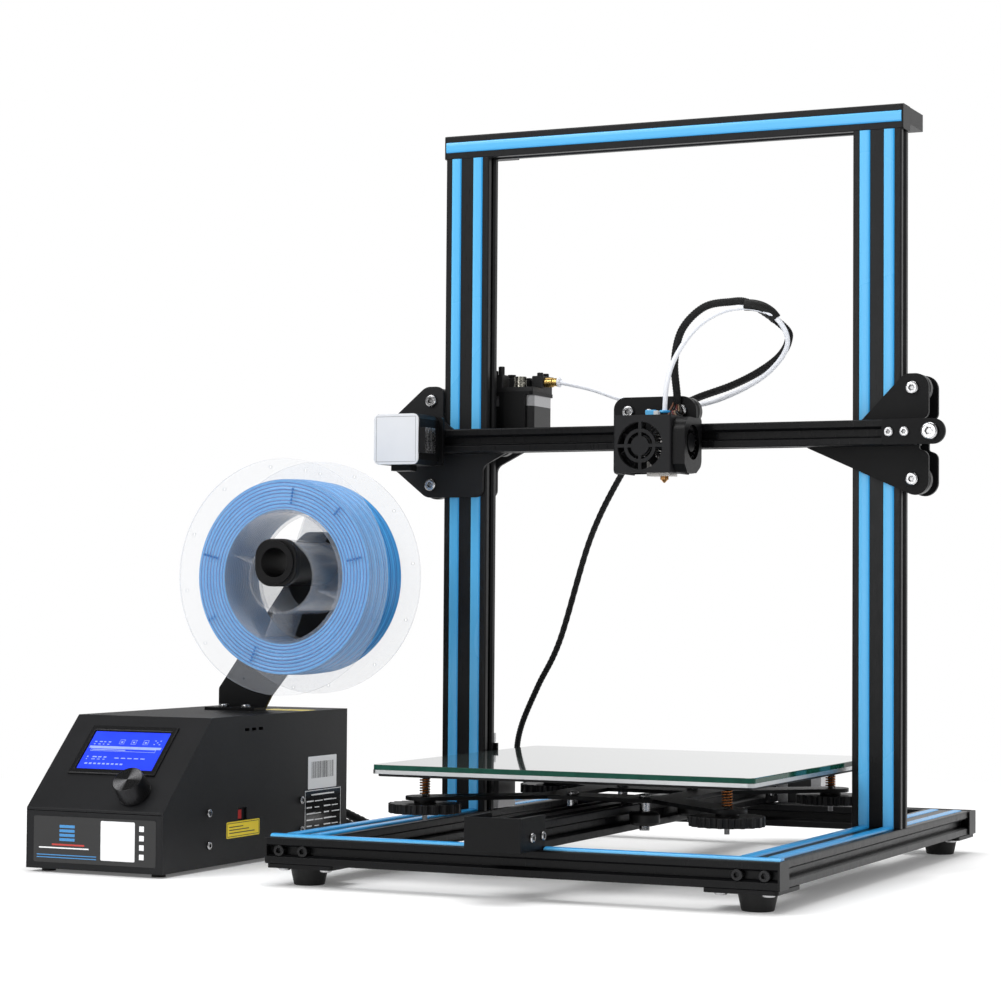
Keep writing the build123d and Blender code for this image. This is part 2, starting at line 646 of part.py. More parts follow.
def gantry_hardware():
    """Wheel axles with spacers, the lead screw nut, and the filament tube fitting."""
    pieces = []
    front = GANTRY_FRONT
    rear = GANTRY_REAR + PLATE_T
    for side in (-1, 1):
        for i, (x, z) in enumerate(wheel_bolt_points(side)):
            if i < 2:
                axle = screw((x, front, z), "-y", 5.2, 3.0, shank=rear - front + 1)
                nut = Pos(x, rear + 2.6, z) * Rot(90, 0, 0) * extrude(RegularPolygon(4.6, 6), amount=2.5)
                pieces.append(axle + nut)
            else:
                pieces.append(screw((x, rear, z), "+y", 5.2, 3.0, shank=rear - front - 0.2))
            near = UPRIGHT_Y - WHEEL_W / 2
            far = UPRIGHT_Y + WHEEL_W / 2
            inside = front + PLATE_T
            pieces.append(tube("+y", (x, (inside + near) / 2, z), 4.0, 2.6, near - inside - 0.1))
            pieces.append(tube("+y", (x, (far + GANTRY_REAR) / 2, z), 4.0, 2.6, GANTRY_REAR - far - 0.1))
    nut = rod("+z", (SCREW_X, SCREW_Y, 341.5), 5.1, 13)
    nut += rod("+z", (SCREW_X, SCREW_Y, 349.2), 10.5, 2.4)
    nut -= rod("+z", (SCREW_X, SCREW_Y, 345), SCREW_R + 0.06, 60)
    pieces.append(nut)
    fitting = rod("+x", (-129, FILAMENT_Y, FILAMENT_Z), 4.3, 7)
    fitting += rod("+x", (-123.5, FILAMENT_Y, FILAMENT_Z), 3.6, 5)
    fitting -= rod("+x", (-125.5, FILAMENT_Y, FILAMENT_Z), 2.1, 30)
    pieces.append(fitting)
    save("gantry_hardware", *pieces, *idler_screws(), lever_pivot())


def gantry_brackets():
    """Motor and idler plates of the belt, lead screw nut bracket, extruder bracket."""
    motor_plate = plate_xz(rectangle(-235, -189, 328, 369, 4), 9.0, 12.0)
    motor_plate -= rod("+y", (X_PULLEY_X, 10, BEAM_Z), 11.3, 20)
    low, high = BEAM_Z - PITCH / 2, BEAM_Z + PITCH / 2
    idler_plate = plate_xz([(193, low, 2), (193, high, 2), (244, high, 9.7), (244, low, 9.7)], 9.0, 12.0)
    idler_plate -= rod("+y", (X_IDLER_X, 10, BEAM_Z), 2.6, 20)
    for x in IDLER_SCREW_XS:
        idler_plate -= rod("+y", (x, 10, BEAM_Z), 2.6, 20)
    rear = GANTRY_REAR + PLATE_T
    nut_bracket = plate_xy(rectangle(-199, -163.5, rear, SCREW_Y + 15, 3), 345.0, 348.0)
    nut_bracket += slab(-199, -163.5, rear, rear + 2.5, 330.0, 348.0)
    nut_bracket -= rod("+z", (SCREW_X, SCREW_Y, 346), 5.3, 20)
    shelf = plate_xy(rectangle(-175.2, -131.5, rear, EXTRUDER_Y + 22, 3), EXTRUDER_Z, EXTRUDER_Z + PLATE_T)
    shelf += slab(-162.0, -138.0, rear, rear + 2.5, 342.0, EXTRUDER_Z)
    shelf -= rod("+z", (EXTRUDER_X, EXTRUDER_Y, EXTRUDER_Z), 11.3, 20)
    shelf -= rod("+y", (-INNER_X, rear, BEAM_Z), 5.6, 12)
    save("gantry_brackets", motor_plate, idler_plate, nut_bracket, shelf)


def gantry_motors():
    belt_motor = Pos(X_PULLEY_X, 9.0, BEAM_Z) * Rot(-90, 0, 0) * Rot(0, 0, 180) * stepper(36)
    extruder_motor = Pos(EXTRUDER_X, EXTRUDER_Y, EXTRUDER_Z) * Rot(0, 0, 180) * stepper(40)
    save("gantry_motors", belt_motor, extruder_motor)


def x_belt():
    save("x_belt", Pos(0, BEAM_Y, BEAM_Z) * Rot(90, 0, 0) * belt_loop(X_PULLEY_X, X_IDLER_X))


def x_pulleys():
    save("x_pulley", Pos(X_PULLEY_X, BEAM_Y, BEAM_Z) * Rot(90, 0, 0) * pulley(shaft=15))
    save("x_idler", Pos(X_IDLER_X, BEAM_Y, BEAM_Z) * Rot(90, 0, 0) * pulley(bore=2.55))


def idler_screws():
    """Idler axle and the small screws at the beam's right end."""
    front = 9.0
    pieces = [screw((X_IDLER_X, front, BEAM_Z), "-y", 6.8, 3.6, shank=20)]
    for x in IDLER_SCREW_XS:
        pieces.append(screw((x, front, BEAM_Z), "-y", 3.8, 2.2, shank=2.9))
    return pieces


def x_limit_switch():
    body = slab(-193.2, -187.2, -28, -9, 337, 358)
    lever = slab(-187.2, -186.6, -24, -20, 338.5, 356) + slab(-187.2, -186.6, -17, -13, 338.5, 356)
    save("x_limit_switch", body, lever)


def extruder_body():
    """Cast drive block with its drive channel open round the gear."""
    low = EXTRUDER_Z + PLATE_T
    top = low + 15
    block = slab(-174.5, -132.5, 67, 109, low, low + 4)
    block += slab(-146.5, -132.5, 88, 109, low + 4, top)
    block += slab(-174.5, -160.5, 67, 80, low + 4, top)
    block = chamfer(block.edges().filter_by(Axis.Z), 0.6)
    block -= rod("+z", (EXTRUDER_X, EXTRUDER_Y, low), 11.3, 60)
    block -= rod("+x", (-140.5, FILAMENT_Y, FILAMENT_Z), 1.6, 40)
    for x, y, head_h in ((-136.5, 104, 3.0), (-136.5, 92, 3.0), (-164.5, 73, 7.5), (-170.5, 73, 4.0)):
        block += socket_cap((x, y, top), "+z", 2.7, head_h)
    save("extruder_body", block)


def extruder_lever():
    """Idler arm that pinches the filament on the drive gear."""
    low = EXTRUDER_Z + PLATE_T + 4.3
    thick = 10.0
    corners = [(-173, 100, 2), (-173, 108, 2), (-149, 108, 3), (-149, 98.6, 1), (-160.5, 98.6, 1)]
    arm = plate_xy(corners, low, low + thick)
    arm += Pos(LEVER_X, LEVER_Y, low + thick / 2) * Cylinder(4.5, thick)
    arm -= rod("+z", (LEVER_X, LEVER_Y, low), 2.1, 40)
    bearing = rod("+z", (EXTRUDER_X, 101.9, FILAMENT_Z), 5.0, 6.0)
    save("extruder_lever", arm + bearing)


def lever_pivot():
    """Shoulder screw of the idler arm."""
    low = EXTRUDER_Z + PLATE_T + 4
    pivot = rod("+z", (LEVER_X, LEVER_Y, low + 6.0), 2.0, 12)
    return pivot + Pos(LEVER_X, LEVER_Y, low + 12.2) * Cylinder(3.6, 3.0)


def extruder_gear():
    low = EXTRUDER_Z + PLATE_T + 1
    gear = Pos(EXTRUDER_X, EXTRUDER_Y, FILAMENT_Z) * Cylinder(5.4, 10)
    teeth = 20
    for i in range(teeth):
        angle = 2 * pi * i / teeth
        notch = (EXTRUDER_X + 5.7 * cos(angle), EXTRUDER_Y + 5.7 * sin(angle), FILAMENT_Z)
        gear -= rod("+z", notch, 0.6, 4)
    gear += Pos(EXTRUDER_X, EXTRUDER_Y, low) * Cylinder(MOTOR_SHAFT_R, 18)
    save("extruder_gear", gear)


def leadscrew():
    """Trapezoidal screw with its coupling, standing on the lift motor."""
    top = FRAME_TOP - 2
    low = Z_MOTOR_FACE + 3
    screw_rod = rod("+z", (SCREW_X, SCREW_Y, (low + 8 + top) / 2), SCREW_R, top - low - 8)
    coupling = rod("+z", (SCREW_X, SCREW_Y, low + 13.5), 9.5, 25)
    for step in range(4):
        ring = tube("+z", (SCREW_X, SCREW_Y, low + 9 + 3 * step), 11, 8.6, 1.0)
        coupling -= ring
    shaft = rod("+z", (SCREW_X, SCREW_Y, low), MOTOR_SHAFT_R, 12)
    save("leadscrew", screw_rod + coupling + shaft)


# ---------------------------------------------------------------- print head
def head_wheel_points():
    reach = PITCH / 2 + WHEEL_GAP
    return [(x, BEAM_Z + side * reach) for x, side in HEAD_WHEELS]


def head_plate():
    corners = [(-33, 318, 4), (-33, 381, 10), (39, 381, 13), (39, 318, 4)]
    plate = plate_xz(corners, HEAD_BACK, HEAD_BACK + PLATE_T)
    for x, z in head_wheel_points():
        plate -= rod("+y", (x, HEAD_BACK, z), 2.6, 20)
    save("head_plate", plate)


def head_wheels():
    save("head_wheels", *[v_wheel("+y", (x, BEAM_Y, z)) for x, z in head_wheel_points()])


def head_bolts():
    pieces = []
    near = BEAM_Y - WHEEL_W / 2
    far = BEAM_Y + WHEEL_W / 2
    for x, z in head_wheel_points():
        axle = screw((x, HEAD_BACK, z), "-y", 5.0, 3.0, shank=far - HEAD_BACK + 3.6)
        nut = Pos(x, far + 3.7, z) * Rot(90, 0, 0) * extrude(RegularPolygon(4.4, 6), amount=3.5)
        pieces.append(axle + nut)
        behind = HEAD_BACK + PLATE_T
        pieces.append(tube("+y", (x, (behind + near) / 2, z), 4.0, 2.6, near - behind - 0.1))
    pieces.append(screw((-1.8, HEAD_BACK, 368.0), "-y", 3.2, 2.2, shank=0))
    save("head_bolts", *pieces)


def fan_cover():
    """Folded sheet shroud in front of the hot end, with a spoked fan opening."""
    x0, x1 = -15.5, 33.0
    low, high = 317.0, 363.3
    wall = 1.4
    shell = slab(x0, x1, HEAD_FRONT, HEAD_BACK, low, high)
    shell -= slab(x0 + wall, x1 - wall, HEAD_FRONT + wall, HEAD_BACK + 1, low - 1, high + 1)
    shell = fillet(shell.edges().filter_by(Axis.Z).group_by(Axis.Y)[0], 1.2)
    front = HEAD_FRONT + wall / 2
    for outer, inner in ((19.2, 13.6), (10.8, 7.6)):
        ring = tube("+y", (FAN_X, front, FAN_Z), outer, inner, 2 * wall)
        for angle in (0, 90):
            bar = Pos(FAN_X, front, FAN_Z) * Rot(0, angle, 0) * Box(60, 10, 2.6)
            ring -= bar
        shell -= ring
    save("fan_cover", shell)


def fan_frames():
    """Square frame of the hot end fan and the volute housing of the part blower."""
    y0 = HEAD_FRONT + 1.5
    frame = slab(FAN_X - 20, FAN_X + 20, y0, y0 + 10, FAN_Z - 20, FAN_Z + 20)
    frame = fillet(frame.edges().filter_by(Axis.Y), 3)
    frame -= rod("+y", (FAN_X, y0 + 5, FAN_Z), 18.8, 20)
    struts = rod("+y", (FAN_X, y0 + 9.4, FAN_Z), 9, 1.2)
    for i in range(3):
        struts += Pos(FAN_X, y0 + 9.4, FAN_Z) * Rot(0, 120 * i + 30, 0) * Pos(13, 0, 0) * Box(14, 1.2, 2)
    x0, x1 = BLOWER_X, BLOWER_X + 10.3
    scroll = [(-30.5, 324, 0), (-30.5, 362, 12), (8, 362, 3), (8, 324, 8), (-4, 317.5, 1), (-24, 317.5, 1)]
    volute = plate_yz(scroll, x0, x1)
    volute -= rod("+x", (x0 + 1 + 5, BLOWER_Y, BLOWER_Z), 17.5, 8.3)
    volute -= rod("+x", (x1, BLOWER_Y, BLOWER_Z), 14.0, 5)
    volute -= slab(x0 + 1.2, x1 - 1.2, -23, -5, 316, 330)
    save("fan_frames", frame + struts, volute)


def hotend_fan():
    y0 = HEAD_FRONT + 2.4
    rotor = rod("+y", (FAN_X, y0 + 3.9, FAN_Z), 8.8, 7.8)
    blades = 7
    for i in range(blades):
        blade = Rot(0, 360 * i / blades, 0) * Pos(13.0, 0, 0) * Rot(38, 0, 0) * Box(10.4, 8.2, 1.0)
        rotor += Pos(FAN_X, y0 + 3.9, FAN_Z) * blade
    save("hotend_fan", rotor)


def blower_rotor():
    x = BLOWER_X + 5.4
    rotor = rod("+x", (x, BLOWER_Y, BLOWER_Z), 7.5, 7.0)
    rotor += rod("+x", (x - 3.2, BLOWER_Y, BLOWER_Z), 14.5, 0.7)
    vanes = 20
    for i in range(vanes):
        vane = Rot(360 * i / vanes, 0, 0) * Pos(0, 0, 12.6) * Rot(0, 0, 35) * Box(6.8, 0.8, 3.4)
        rotor += Pos(x, BLOWER_Y, BLOWER_Z) * vane
    save("blower_rotor", rotor)


def hotend():
    """Finned cooler, heater block, nozzle and tube fitting."""
    block_low = NOZZLE_Z + 5.2
    block_high = block_low + 11.5
    axis_point = (NOZZLE_X, NOZZLE_Y)
    cooler_low = block_high + 2.5
    fins = 11
    body = rod("+z", (*axis_point, (block_high + 356) / 2), 3.4, 356 - block_high)
    body += rod("+z", (*axis_point, (cooler_low + 356) / 2), 5.0, 356 - cooler_low)
    for i in range(fins):
        body += rod("+z", (*axis_point, cooler_low + 1 + 2.5 * i), 10.8, 1.1)
    body += rod("+z", (*axis_point, 358.5), 6.0, 6)
    body += rod("+z", (*axis_point, 363.5), 4.2, 5)
    body -= rod("+z", (*axis_point, 363), 2.1, 12)
    block = slab(NOZZLE_X - 12, NOZZLE_X + 8, NOZZLE_Y - 8, NOZZLE_Y + 8, block_low, block_high)
    hexagon = Pos(*axis_point, block_low - 2.6) * extrude(RegularPolygon(3.6, 6), amount=2.6)
    tip = Pos(*axis_point, NOZZLE_Z + 1.3) * Cone(0.5, 2.9, 2.6)
    save("hotend", body + block + hexagon + tip)


def bowden_tube():
    """Filament guide tube between the extruder fitting and the hot end."""
    points = [
        (-120.0, FILAMENT_Y, FILAMENT_Z), (-89.0, 92.5, 396.0), (-58.0, 88.0, 386.0), (-19.0, 75.0, 378.5),
        (23.0, 58.0, 377.5), (56.0, 44.0, 384.0), (89.0, 28.0, 396.5), (110.0, 16.0, 412.5),
        (115.5, 8.0, 427.0), (107.0, 0.0, 442.0), (88.0, -4.0, 449.0), (65.5, -6.0, 446.5),
        (44.0, -7.0, 434.0), (27.0, -7.0, 412.0), (19.5, -7.0, 391.0), (NOZZLE_X, NOZZLE_Y, 368.0),
    ]
    into_fitting = Line((-124.5, FILAMENT_Y, FILAMENT_Z), points[0])
    bend = Spline(*points, tangents=[(1, 0, 0), (0, 0, -1)])
    into_hotend = Line(points[-1], (NOZZLE_X, NOZZLE_Y, 359.0))
    path = into_fitting + bend + into_hotend
    section = Plane(origin=path @ 0, z_dir=path % 0) * Circle(2.0)
    save("bowden_tube", sweep(section, path=path))


# ---------------------------------------------------------------- control box
def box_profile():
    return [
        (BOX_Y0, BOX_Z0, 0), (BOX_Y0, BOX_SLOPE_Z, 2), (BOX_SLOPE_Y, BOX_TOP, 2), (BOX_Y1, BOX_TOP, 0),
        (BOX_Y1, BOX_Z0, 0),
    ]


def on_slope(shape, x, s):
    """Place a shape drawn flat about the origin onto the sloping panel."""
    return SLOPE.location * Pos(x, s, 0) * shape


def box_cover():
    """Folded upper shell: side walls, sloping panel and top."""
    shell = plate_yz(box_profile(), BOX_X0, BOX_X1)
    drop = SHEET / cos(radians(SLOPE_ANGLE))
    steep = SLOPE_RISE / SLOPE_RUN
    far = 60.0
    inner = [
        (BOX_Y0 - far, -far, 0),
        (BOX_Y0 - far, BOX_SLOPE_Z - drop - far * steep, 0),
        (BOX_Y0 + (BOX_TOP - SHEET - BOX_SLOPE_Z + drop) / steep, BOX_TOP - SHEET, 0),
        (BOX_Y1 + far, BOX_TOP - SHEET, 0),
        (BOX_Y1 + far, -far, 0),
    ]
    shell -= plate_yz(inner, BOX_X0 + SHEET, BOX_X1 - SHEET)
    shell -= on_slope(Box(73, 43, 10), SCREEN_X, SCREEN_S)
    shell -= on_slope(Cylinder(4.2, 20), KNOB_X, KNOB_S)
    shell -= slab(BOX_X1 - 5, BOX_X1 + 5, -145.5, -131.5, 36.0, 46.5)
    for y in (-132, -121, -110):
        shell -= slab(BOX_X1 - 5, BOX_X1 + 5, y - 3.5, y + 3.5, 107.5, 110)
    save("box_cover", shell)


def box_chassis():
    """Lower tray: floor, front lip and rear wall."""
    x0, x1 = BOX_X0 + SHEET + 0.2, BOX_X1 - SHEET - 0.2
    tray = slab(x0, x1, BOX_Y0, BOX_Y1, BOX_Z0, BOX_Z0 + SHEET)
    tray += slab(x0, x1, BOX_Y0, BOX_Y0 + SHEET, BOX_Z0, BOX_SLOPE_Z - 2.2)
    tray += slab(x0, x1, BOX_Y1 - SHEET, BOX_Y1, BOX_Z0, BOX_TOP - SHEET - 0.2)
    tray -= slab(-409, -361, BOX_Y1 - 5, BOX_Y1 + 5, 20, 48)
    for ring in (6, 11, 16):
        slots = tube("+y", (BOX_FAN_X, BOX_Y1, BOX_FAN_Z), ring + 3, ring, 10)
        for i in range(2):
            slots -= Pos(BOX_FAN_X, BOX_Y1, BOX_FAN_Z) * Rot(0, 90 * i + 45, 0) * Box(60, 20, 2.4)
        tray -= slots
    save("box_chassis", tray)


def box_electronics():
    """Power supply, circuit board on posts, fan frame and mains inlet."""
    x0 = BOX_X0 + 3
    low = BOX_Z0 + SHEET
    supply = slab(x0, BOX_X1 - 3, -178, 10, low, low + 50)
    supply = chamfer(supply.edges().filter_by(Axis.Y), 1.0)
    board_z = low + 62
    board = slab(-414, -314, -150, -50, board_z, board_z + 1.6)
    for x in (-410, -318):
        for y in (-146, -54):
            board += rod("+z", (x, y, (low + 50 + board_z) / 2), 2.5, board_z - low - 50)
    for i in range(4):
        board += slab(-400 + 22 * i, -386 + 22 * i, -130, -112, board_z + 1.6, board_z + 9)
    behind = BOX_Y1 - SHEET - 0.1
    fan = slab(BOX_FAN_X - 20, BOX_FAN_X + 20, behind - 10.9, behind, BOX_FAN_Z - 20, BOX_FAN_Z + 20)
    fan -= rod("+y", (BOX_FAN_X, BOX_Y1 - 6, BOX_FAN_Z), 18.6, 30)
    fan += rod("+y", (BOX_FAN_X, BOX_Y1 - 11.5, BOX_FAN_Z), 8.0, 1.2)
    for i in range(3):
        strut = Rot(0, 120 * i, 0) * Pos(13, 0, 0) * Box(13, 1.2, 2)
        fan += Pos(BOX_FAN_X, BOX_Y1 - 11.5, BOX_FAN_Z) * strut
    inlet = slab(-408.6, -361.4, BOX_Y1 - 20, BOX_Y1 + 0.4, 20.4, 47.6)
    inlet += slab(-411.5, -358.5, BOX_Y1 + 0.05, BOX_Y1 + 2.2, 17.5, 50.5)
    inlet -= slab(-406, -381, BOX_Y1 - 16, BOX_Y1 + 5, 23.5, 44.5)
    inlet -= slab(ROCKER_X - 6.6, ROCKER_X + 6.6, BOX_Y1 - 12, BOX_Y1 + 5, 23.8, 44.2)
    for z, dx in ((30, 0), (38, -5), (38, 5)):
        inlet += slab(-393.5 + dx - 1, -393.5 + dx + 1, BOX_Y1 - 16, BOX_Y1 - 3, z - 2.5, z + 2.5)
    save("box_electronics", supply, board, fan, inlet)


def power_rocker():
    """Mains rocker, turning on its own cross pin."""
    section = Polygon((-8.9, -4.5), (8.9, -4.5), (9.3, 3.2), (0, 1.9), (-9.3, 3.2), align=None)
    rocker = extrude(Plane.YZ * section, amount=12.4, dir=(1, 0, 0))
    pin = rod("+x", (ROCKER_X, ROCKER_Y, ROCKER_Z), 1.6, 13.0)
    save("power_rocker", Pos(ROCKER_X - 6.2, ROCKER_Y, ROCKER_Z) * Rot(-90, 0, 0) * rocker + pin)


def display():
    """Display module: frame on the sloping panel and the screen set into it."""
    bezel = extrude(Rectangle(80, 51) - Rectangle(71, 41), amount=1.8)
    bezel = chamfer(bezel.edges().group_by(Axis.Z)[-1], 0.6)
    screen = Pos(0, 0, -3) * extrude(Rectangle(70.6, 40.6), amount=3.4)
    save("display", on_slope(bezel, SCREEN_X, SCREEN_S), on_slope(screen, SCREEN_X, SCREEN_S))


def encoder():
    """Push shaft and the knob that turns on it."""
    shaft = Pos(0, 0, 1.5) * Cylinder(3.2, 21) + Pos(0, 0, -5) * Cylinder(6.0, 2.5)
    knob = Pos(0, 0, 1.6) * extrude(Circle(13.2), amount=15.6, taper=3.0)
    flutes = 36
    for i in range(flutes):
        flute = Rot(0, 0, 360 * i / flutes) * Pos(13.35, 0, 8) * Cylinder(0.55, 11)
        knob -= flute
    knob = fillet(knob.edges().group_by(Axis.Z)[-1].sort_by(SortBy.LENGTH)[-1], 0.7)
    knob -= Pos(0, 0, 6.5) * Cylinder(3.25, 11.2)
    save("encoder_shaft", on_slope(shaft, KNOB_X, KNOB_S))
    save("encoder_knob", on_slope(knob, KNOB_X, KNOB_S))


# ---------------------------------------------------------------- spool
def spool_bracket():
    """Folded steel arm that carries the holder tube."""
    plate_t = 2.5
    foot_x0, foot_x1 = -382.0, -334.0
    low = BOX_TOP
    head = 27.0
    corners = [
        (-379.6, low, 0), (-379.6, 138.0, 4),
        (SPOOL_X - head, TUBE_Z - 8, 16), (SPOOL_X - head, TUBE_Z + 16, 14),
        (SPOOL_X - 14, TUBE_Z + head, 10), (SPOOL_X + 14, TUBE_Z + head, 10), (SPOOL_X + head, TUBE_Z + 14, 10),
        (SPOOL_X + head, TUBE_Z - 22, 14), (-328.3, 132.0, 4), (-335.0, low, 0),
    ]
    arm = plate_xz(corners, BRACKET_Y, BRACKET_Y + plate_t)
    foot = rectangle(foot_x0, foot_x1, BRACKET_Y - 20, BRACKET_Y + plate_t, 1.2)
    arm += plate_xy(foot, low, low + plate_t)
    arm -= rod("+y", (SPOOL_X, BRACKET_Y, TUBE_Z), TUBE_R + 0.1, 20)
    save("spool_bracket", arm)


def spool_tube():
    """Hollow holder tube with its rear collar, and the front nut."""
    y0 = SPOOL_Y0 - 12.0
    y1 = BRACKET_Y + 2.5
    body = rod("+y", (SPOOL_X, (y0 + y1 + 6) / 2, TUBE_Z), TUBE_R, y1 + 6 - y0)
    body += rod("+y", (SPOOL_X, y1 + 3.05, TUBE_Z), 23.0, 5.9)
    body -= rod("+y", (SPOOL_X, 0, TUBE_Z), 12.2, 400)
    nut_face = RectangleRounded(39, 39, 15)
    nut = Pos(SPOOL_X, y0 + 9, TUBE_Z) * Rot(90, 0, 0) * extrude(nut_face, amount=7)
    nut = fillet(nut.edges().group_by(Axis.Y)[0], 1.5)
    nut -= rod("+y", (SPOOL_X, y0 + 5, TUBE_Z), TUBE_R + 0.05, 40)
    save("spool_tube", body, nut)


def spool():
    """Clear reel with spoked hub, and the filament wound on it."""
    wall = 2.4
    y1 = SPOOL_Y0 + SPOOL_W
    middle = (SPOOL_X, SPOOL_Y0 + SPOOL_W / 2, SPOOL_Z)
    drum_r = 55.0
    drum = tube("+y", middle, drum_r, drum_r - 1.8, SPOOL_W)
    hub = tube("+y", middle, HUB_R + 1.8, HUB_R, SPOOL_W)
    reel = drum + hub
    for y in (SPOOL_Y0 + wall / 2, y1 - wall / 2):
        flange = tube("+y", (SPOOL_X, y, SPOOL_Z), SPOOL_R, drum_r - 0.5, wall)
        for i in range(12):
            angle = 2 * pi * i / 12 + 0.13
            at = (SPOOL_X + 91 * cos(angle), y, SPOOL_Z + 91 * sin(angle))
            flange -= rod("+y", at, 1.3, 10)
        reel += flange
    for i in range(4):
        web = Pos(*middle) * Rot(0, 90 * i + 20, 0) * Pos((HUB_R + drum_r) / 2 + 0.2, 0, 0)
        reel += web * Box(drum_r - HUB_R - 2.4, SPOOL_W - 14, 1.6)
    wound = tube("+y", middle, 80.0, drum_r + 0.4, SPOOL_W - 2 * wall - 0.8)
    save("spool", reel, wound)


# ---------------------------------------------------------------- everything
def main():
    os.makedirs("parts", exist_ok=True)
    for build in (
        cross_bars, base_side_rails, uprights, y_rail, slot_covers, bar_end_caps, foot_plates, rubber_feet,
        top_corner_blocks, frame_brackets, frame_motors, y_belt, y_pulleys, frame_bolts, button_screws,
        carriage_plate, bed_wheels, bed_hardware, bed_springs, heated_bed, glass_plate, levelling_knobs,
        x_beam, gantry_wheels, gantry_hardware, gantry_brackets, gantry_motors, x_belt, x_pulleys,
        x_limit_switch, extruder_body, extruder_lever, extruder_gear, leadscrew,
        head_plate, head_wheels, head_bolts, fan_cover, fan_frames, hotend_fan, blower_rotor, hotend,
        bowden_tube,
        box_cover, box_chassis, box_electronics, power_rocker, display, encoder,
        spool_bracket, spool_tube, spool,
    ):
        build()
    gantry_plates("left_gantry_plates", LEFT_PLATE, -1)
    gantry_plates("right_gantry_plates", RIGHT_PLATE, 1)


main()
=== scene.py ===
import json
import math
import random
import bpy
import bmesh
from mathutils import Vector, Matrix


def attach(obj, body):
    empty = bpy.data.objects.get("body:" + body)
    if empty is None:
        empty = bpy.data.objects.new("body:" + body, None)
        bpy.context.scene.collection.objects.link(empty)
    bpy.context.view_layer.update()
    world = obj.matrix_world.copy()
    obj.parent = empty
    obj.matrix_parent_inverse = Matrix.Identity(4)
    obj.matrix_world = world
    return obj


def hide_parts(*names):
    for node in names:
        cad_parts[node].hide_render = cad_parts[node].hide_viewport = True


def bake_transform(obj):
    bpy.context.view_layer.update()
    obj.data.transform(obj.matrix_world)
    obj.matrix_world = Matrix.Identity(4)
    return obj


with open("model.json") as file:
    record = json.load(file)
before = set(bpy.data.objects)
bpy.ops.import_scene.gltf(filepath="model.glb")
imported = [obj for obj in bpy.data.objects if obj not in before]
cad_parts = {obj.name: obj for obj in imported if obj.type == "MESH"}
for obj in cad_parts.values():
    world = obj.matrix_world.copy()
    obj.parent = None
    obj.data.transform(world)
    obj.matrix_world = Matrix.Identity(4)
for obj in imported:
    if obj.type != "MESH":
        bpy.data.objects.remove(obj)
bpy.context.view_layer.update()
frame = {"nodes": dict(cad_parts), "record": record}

NODES = frame["nodes"]
X, Y, Z = Vector((1, 0, 0)), Vector((0, 1, 0)), Vector((0, 0, 1))

# The printer's own centre line in the row frame. Places below are in millimetres from it.
PX, PY = 89.0, -6.0

# Control box: right side, front, and the sloping panel that rises from the front's top edge.
SIDE_X = -294.0
FRONT_Y = -258.0
FRONT_TOP = 50.0
SLOPE = math.atan2(70.0, 71.0)
UP_SLOPE = Vector((0, math.cos(SLOPE), math.sin(SLOPE)))
SLOPE_N = Vector((0, -math.sin(SLOPE), math.cos(SLOPE)))
KNOB_X, KNOB_UP = -327.0, 18.0

# Spool: axis (across, up) and outer faces of its two discs. Pitch of the drawn strands, in metres.
SPOOL_AT = (-282.0, 232.7)
SPOOL_Y0, SPOOL_Y1 = -100.3, -38.6
STRAND_PITCH = 0.0029

# Motors: half the width of a square case, depth of its bright end caps in metres, and the motors' axes.
MOTOR_HALF = 21.4
MOTOR_CAP = 0.0092
BED_MOTOR_AT = (284, 46.7)
LEADSCREW_AT = (-180, 77.6)
EXTRUDER_MOTOR_AT = (-153.5, 88)


def at(x, y, z):
    """A point given from the printer's centre line in millimetres, in the row frame in metres."""
    return Vector(((x + PX) / 1000, (y + PY) / 1000, z / 1000))


def on_slope(x, up, lift):
    """Point on the box's sloping panel, in millimetres: across, up along the slope, out from its face."""
    p = Vector((x, FRONT_Y, FRONT_TOP)) + UP_SLOPE * up + SLOPE_N * lift
    return (p.x, p.y, p.z)


def turned(degrees):
    """Direction in the spool's plane, turned from +X towards +Z."""
    return Vector((math.cos(math.radians(degrees)), 0, math.sin(math.radians(degrees))))


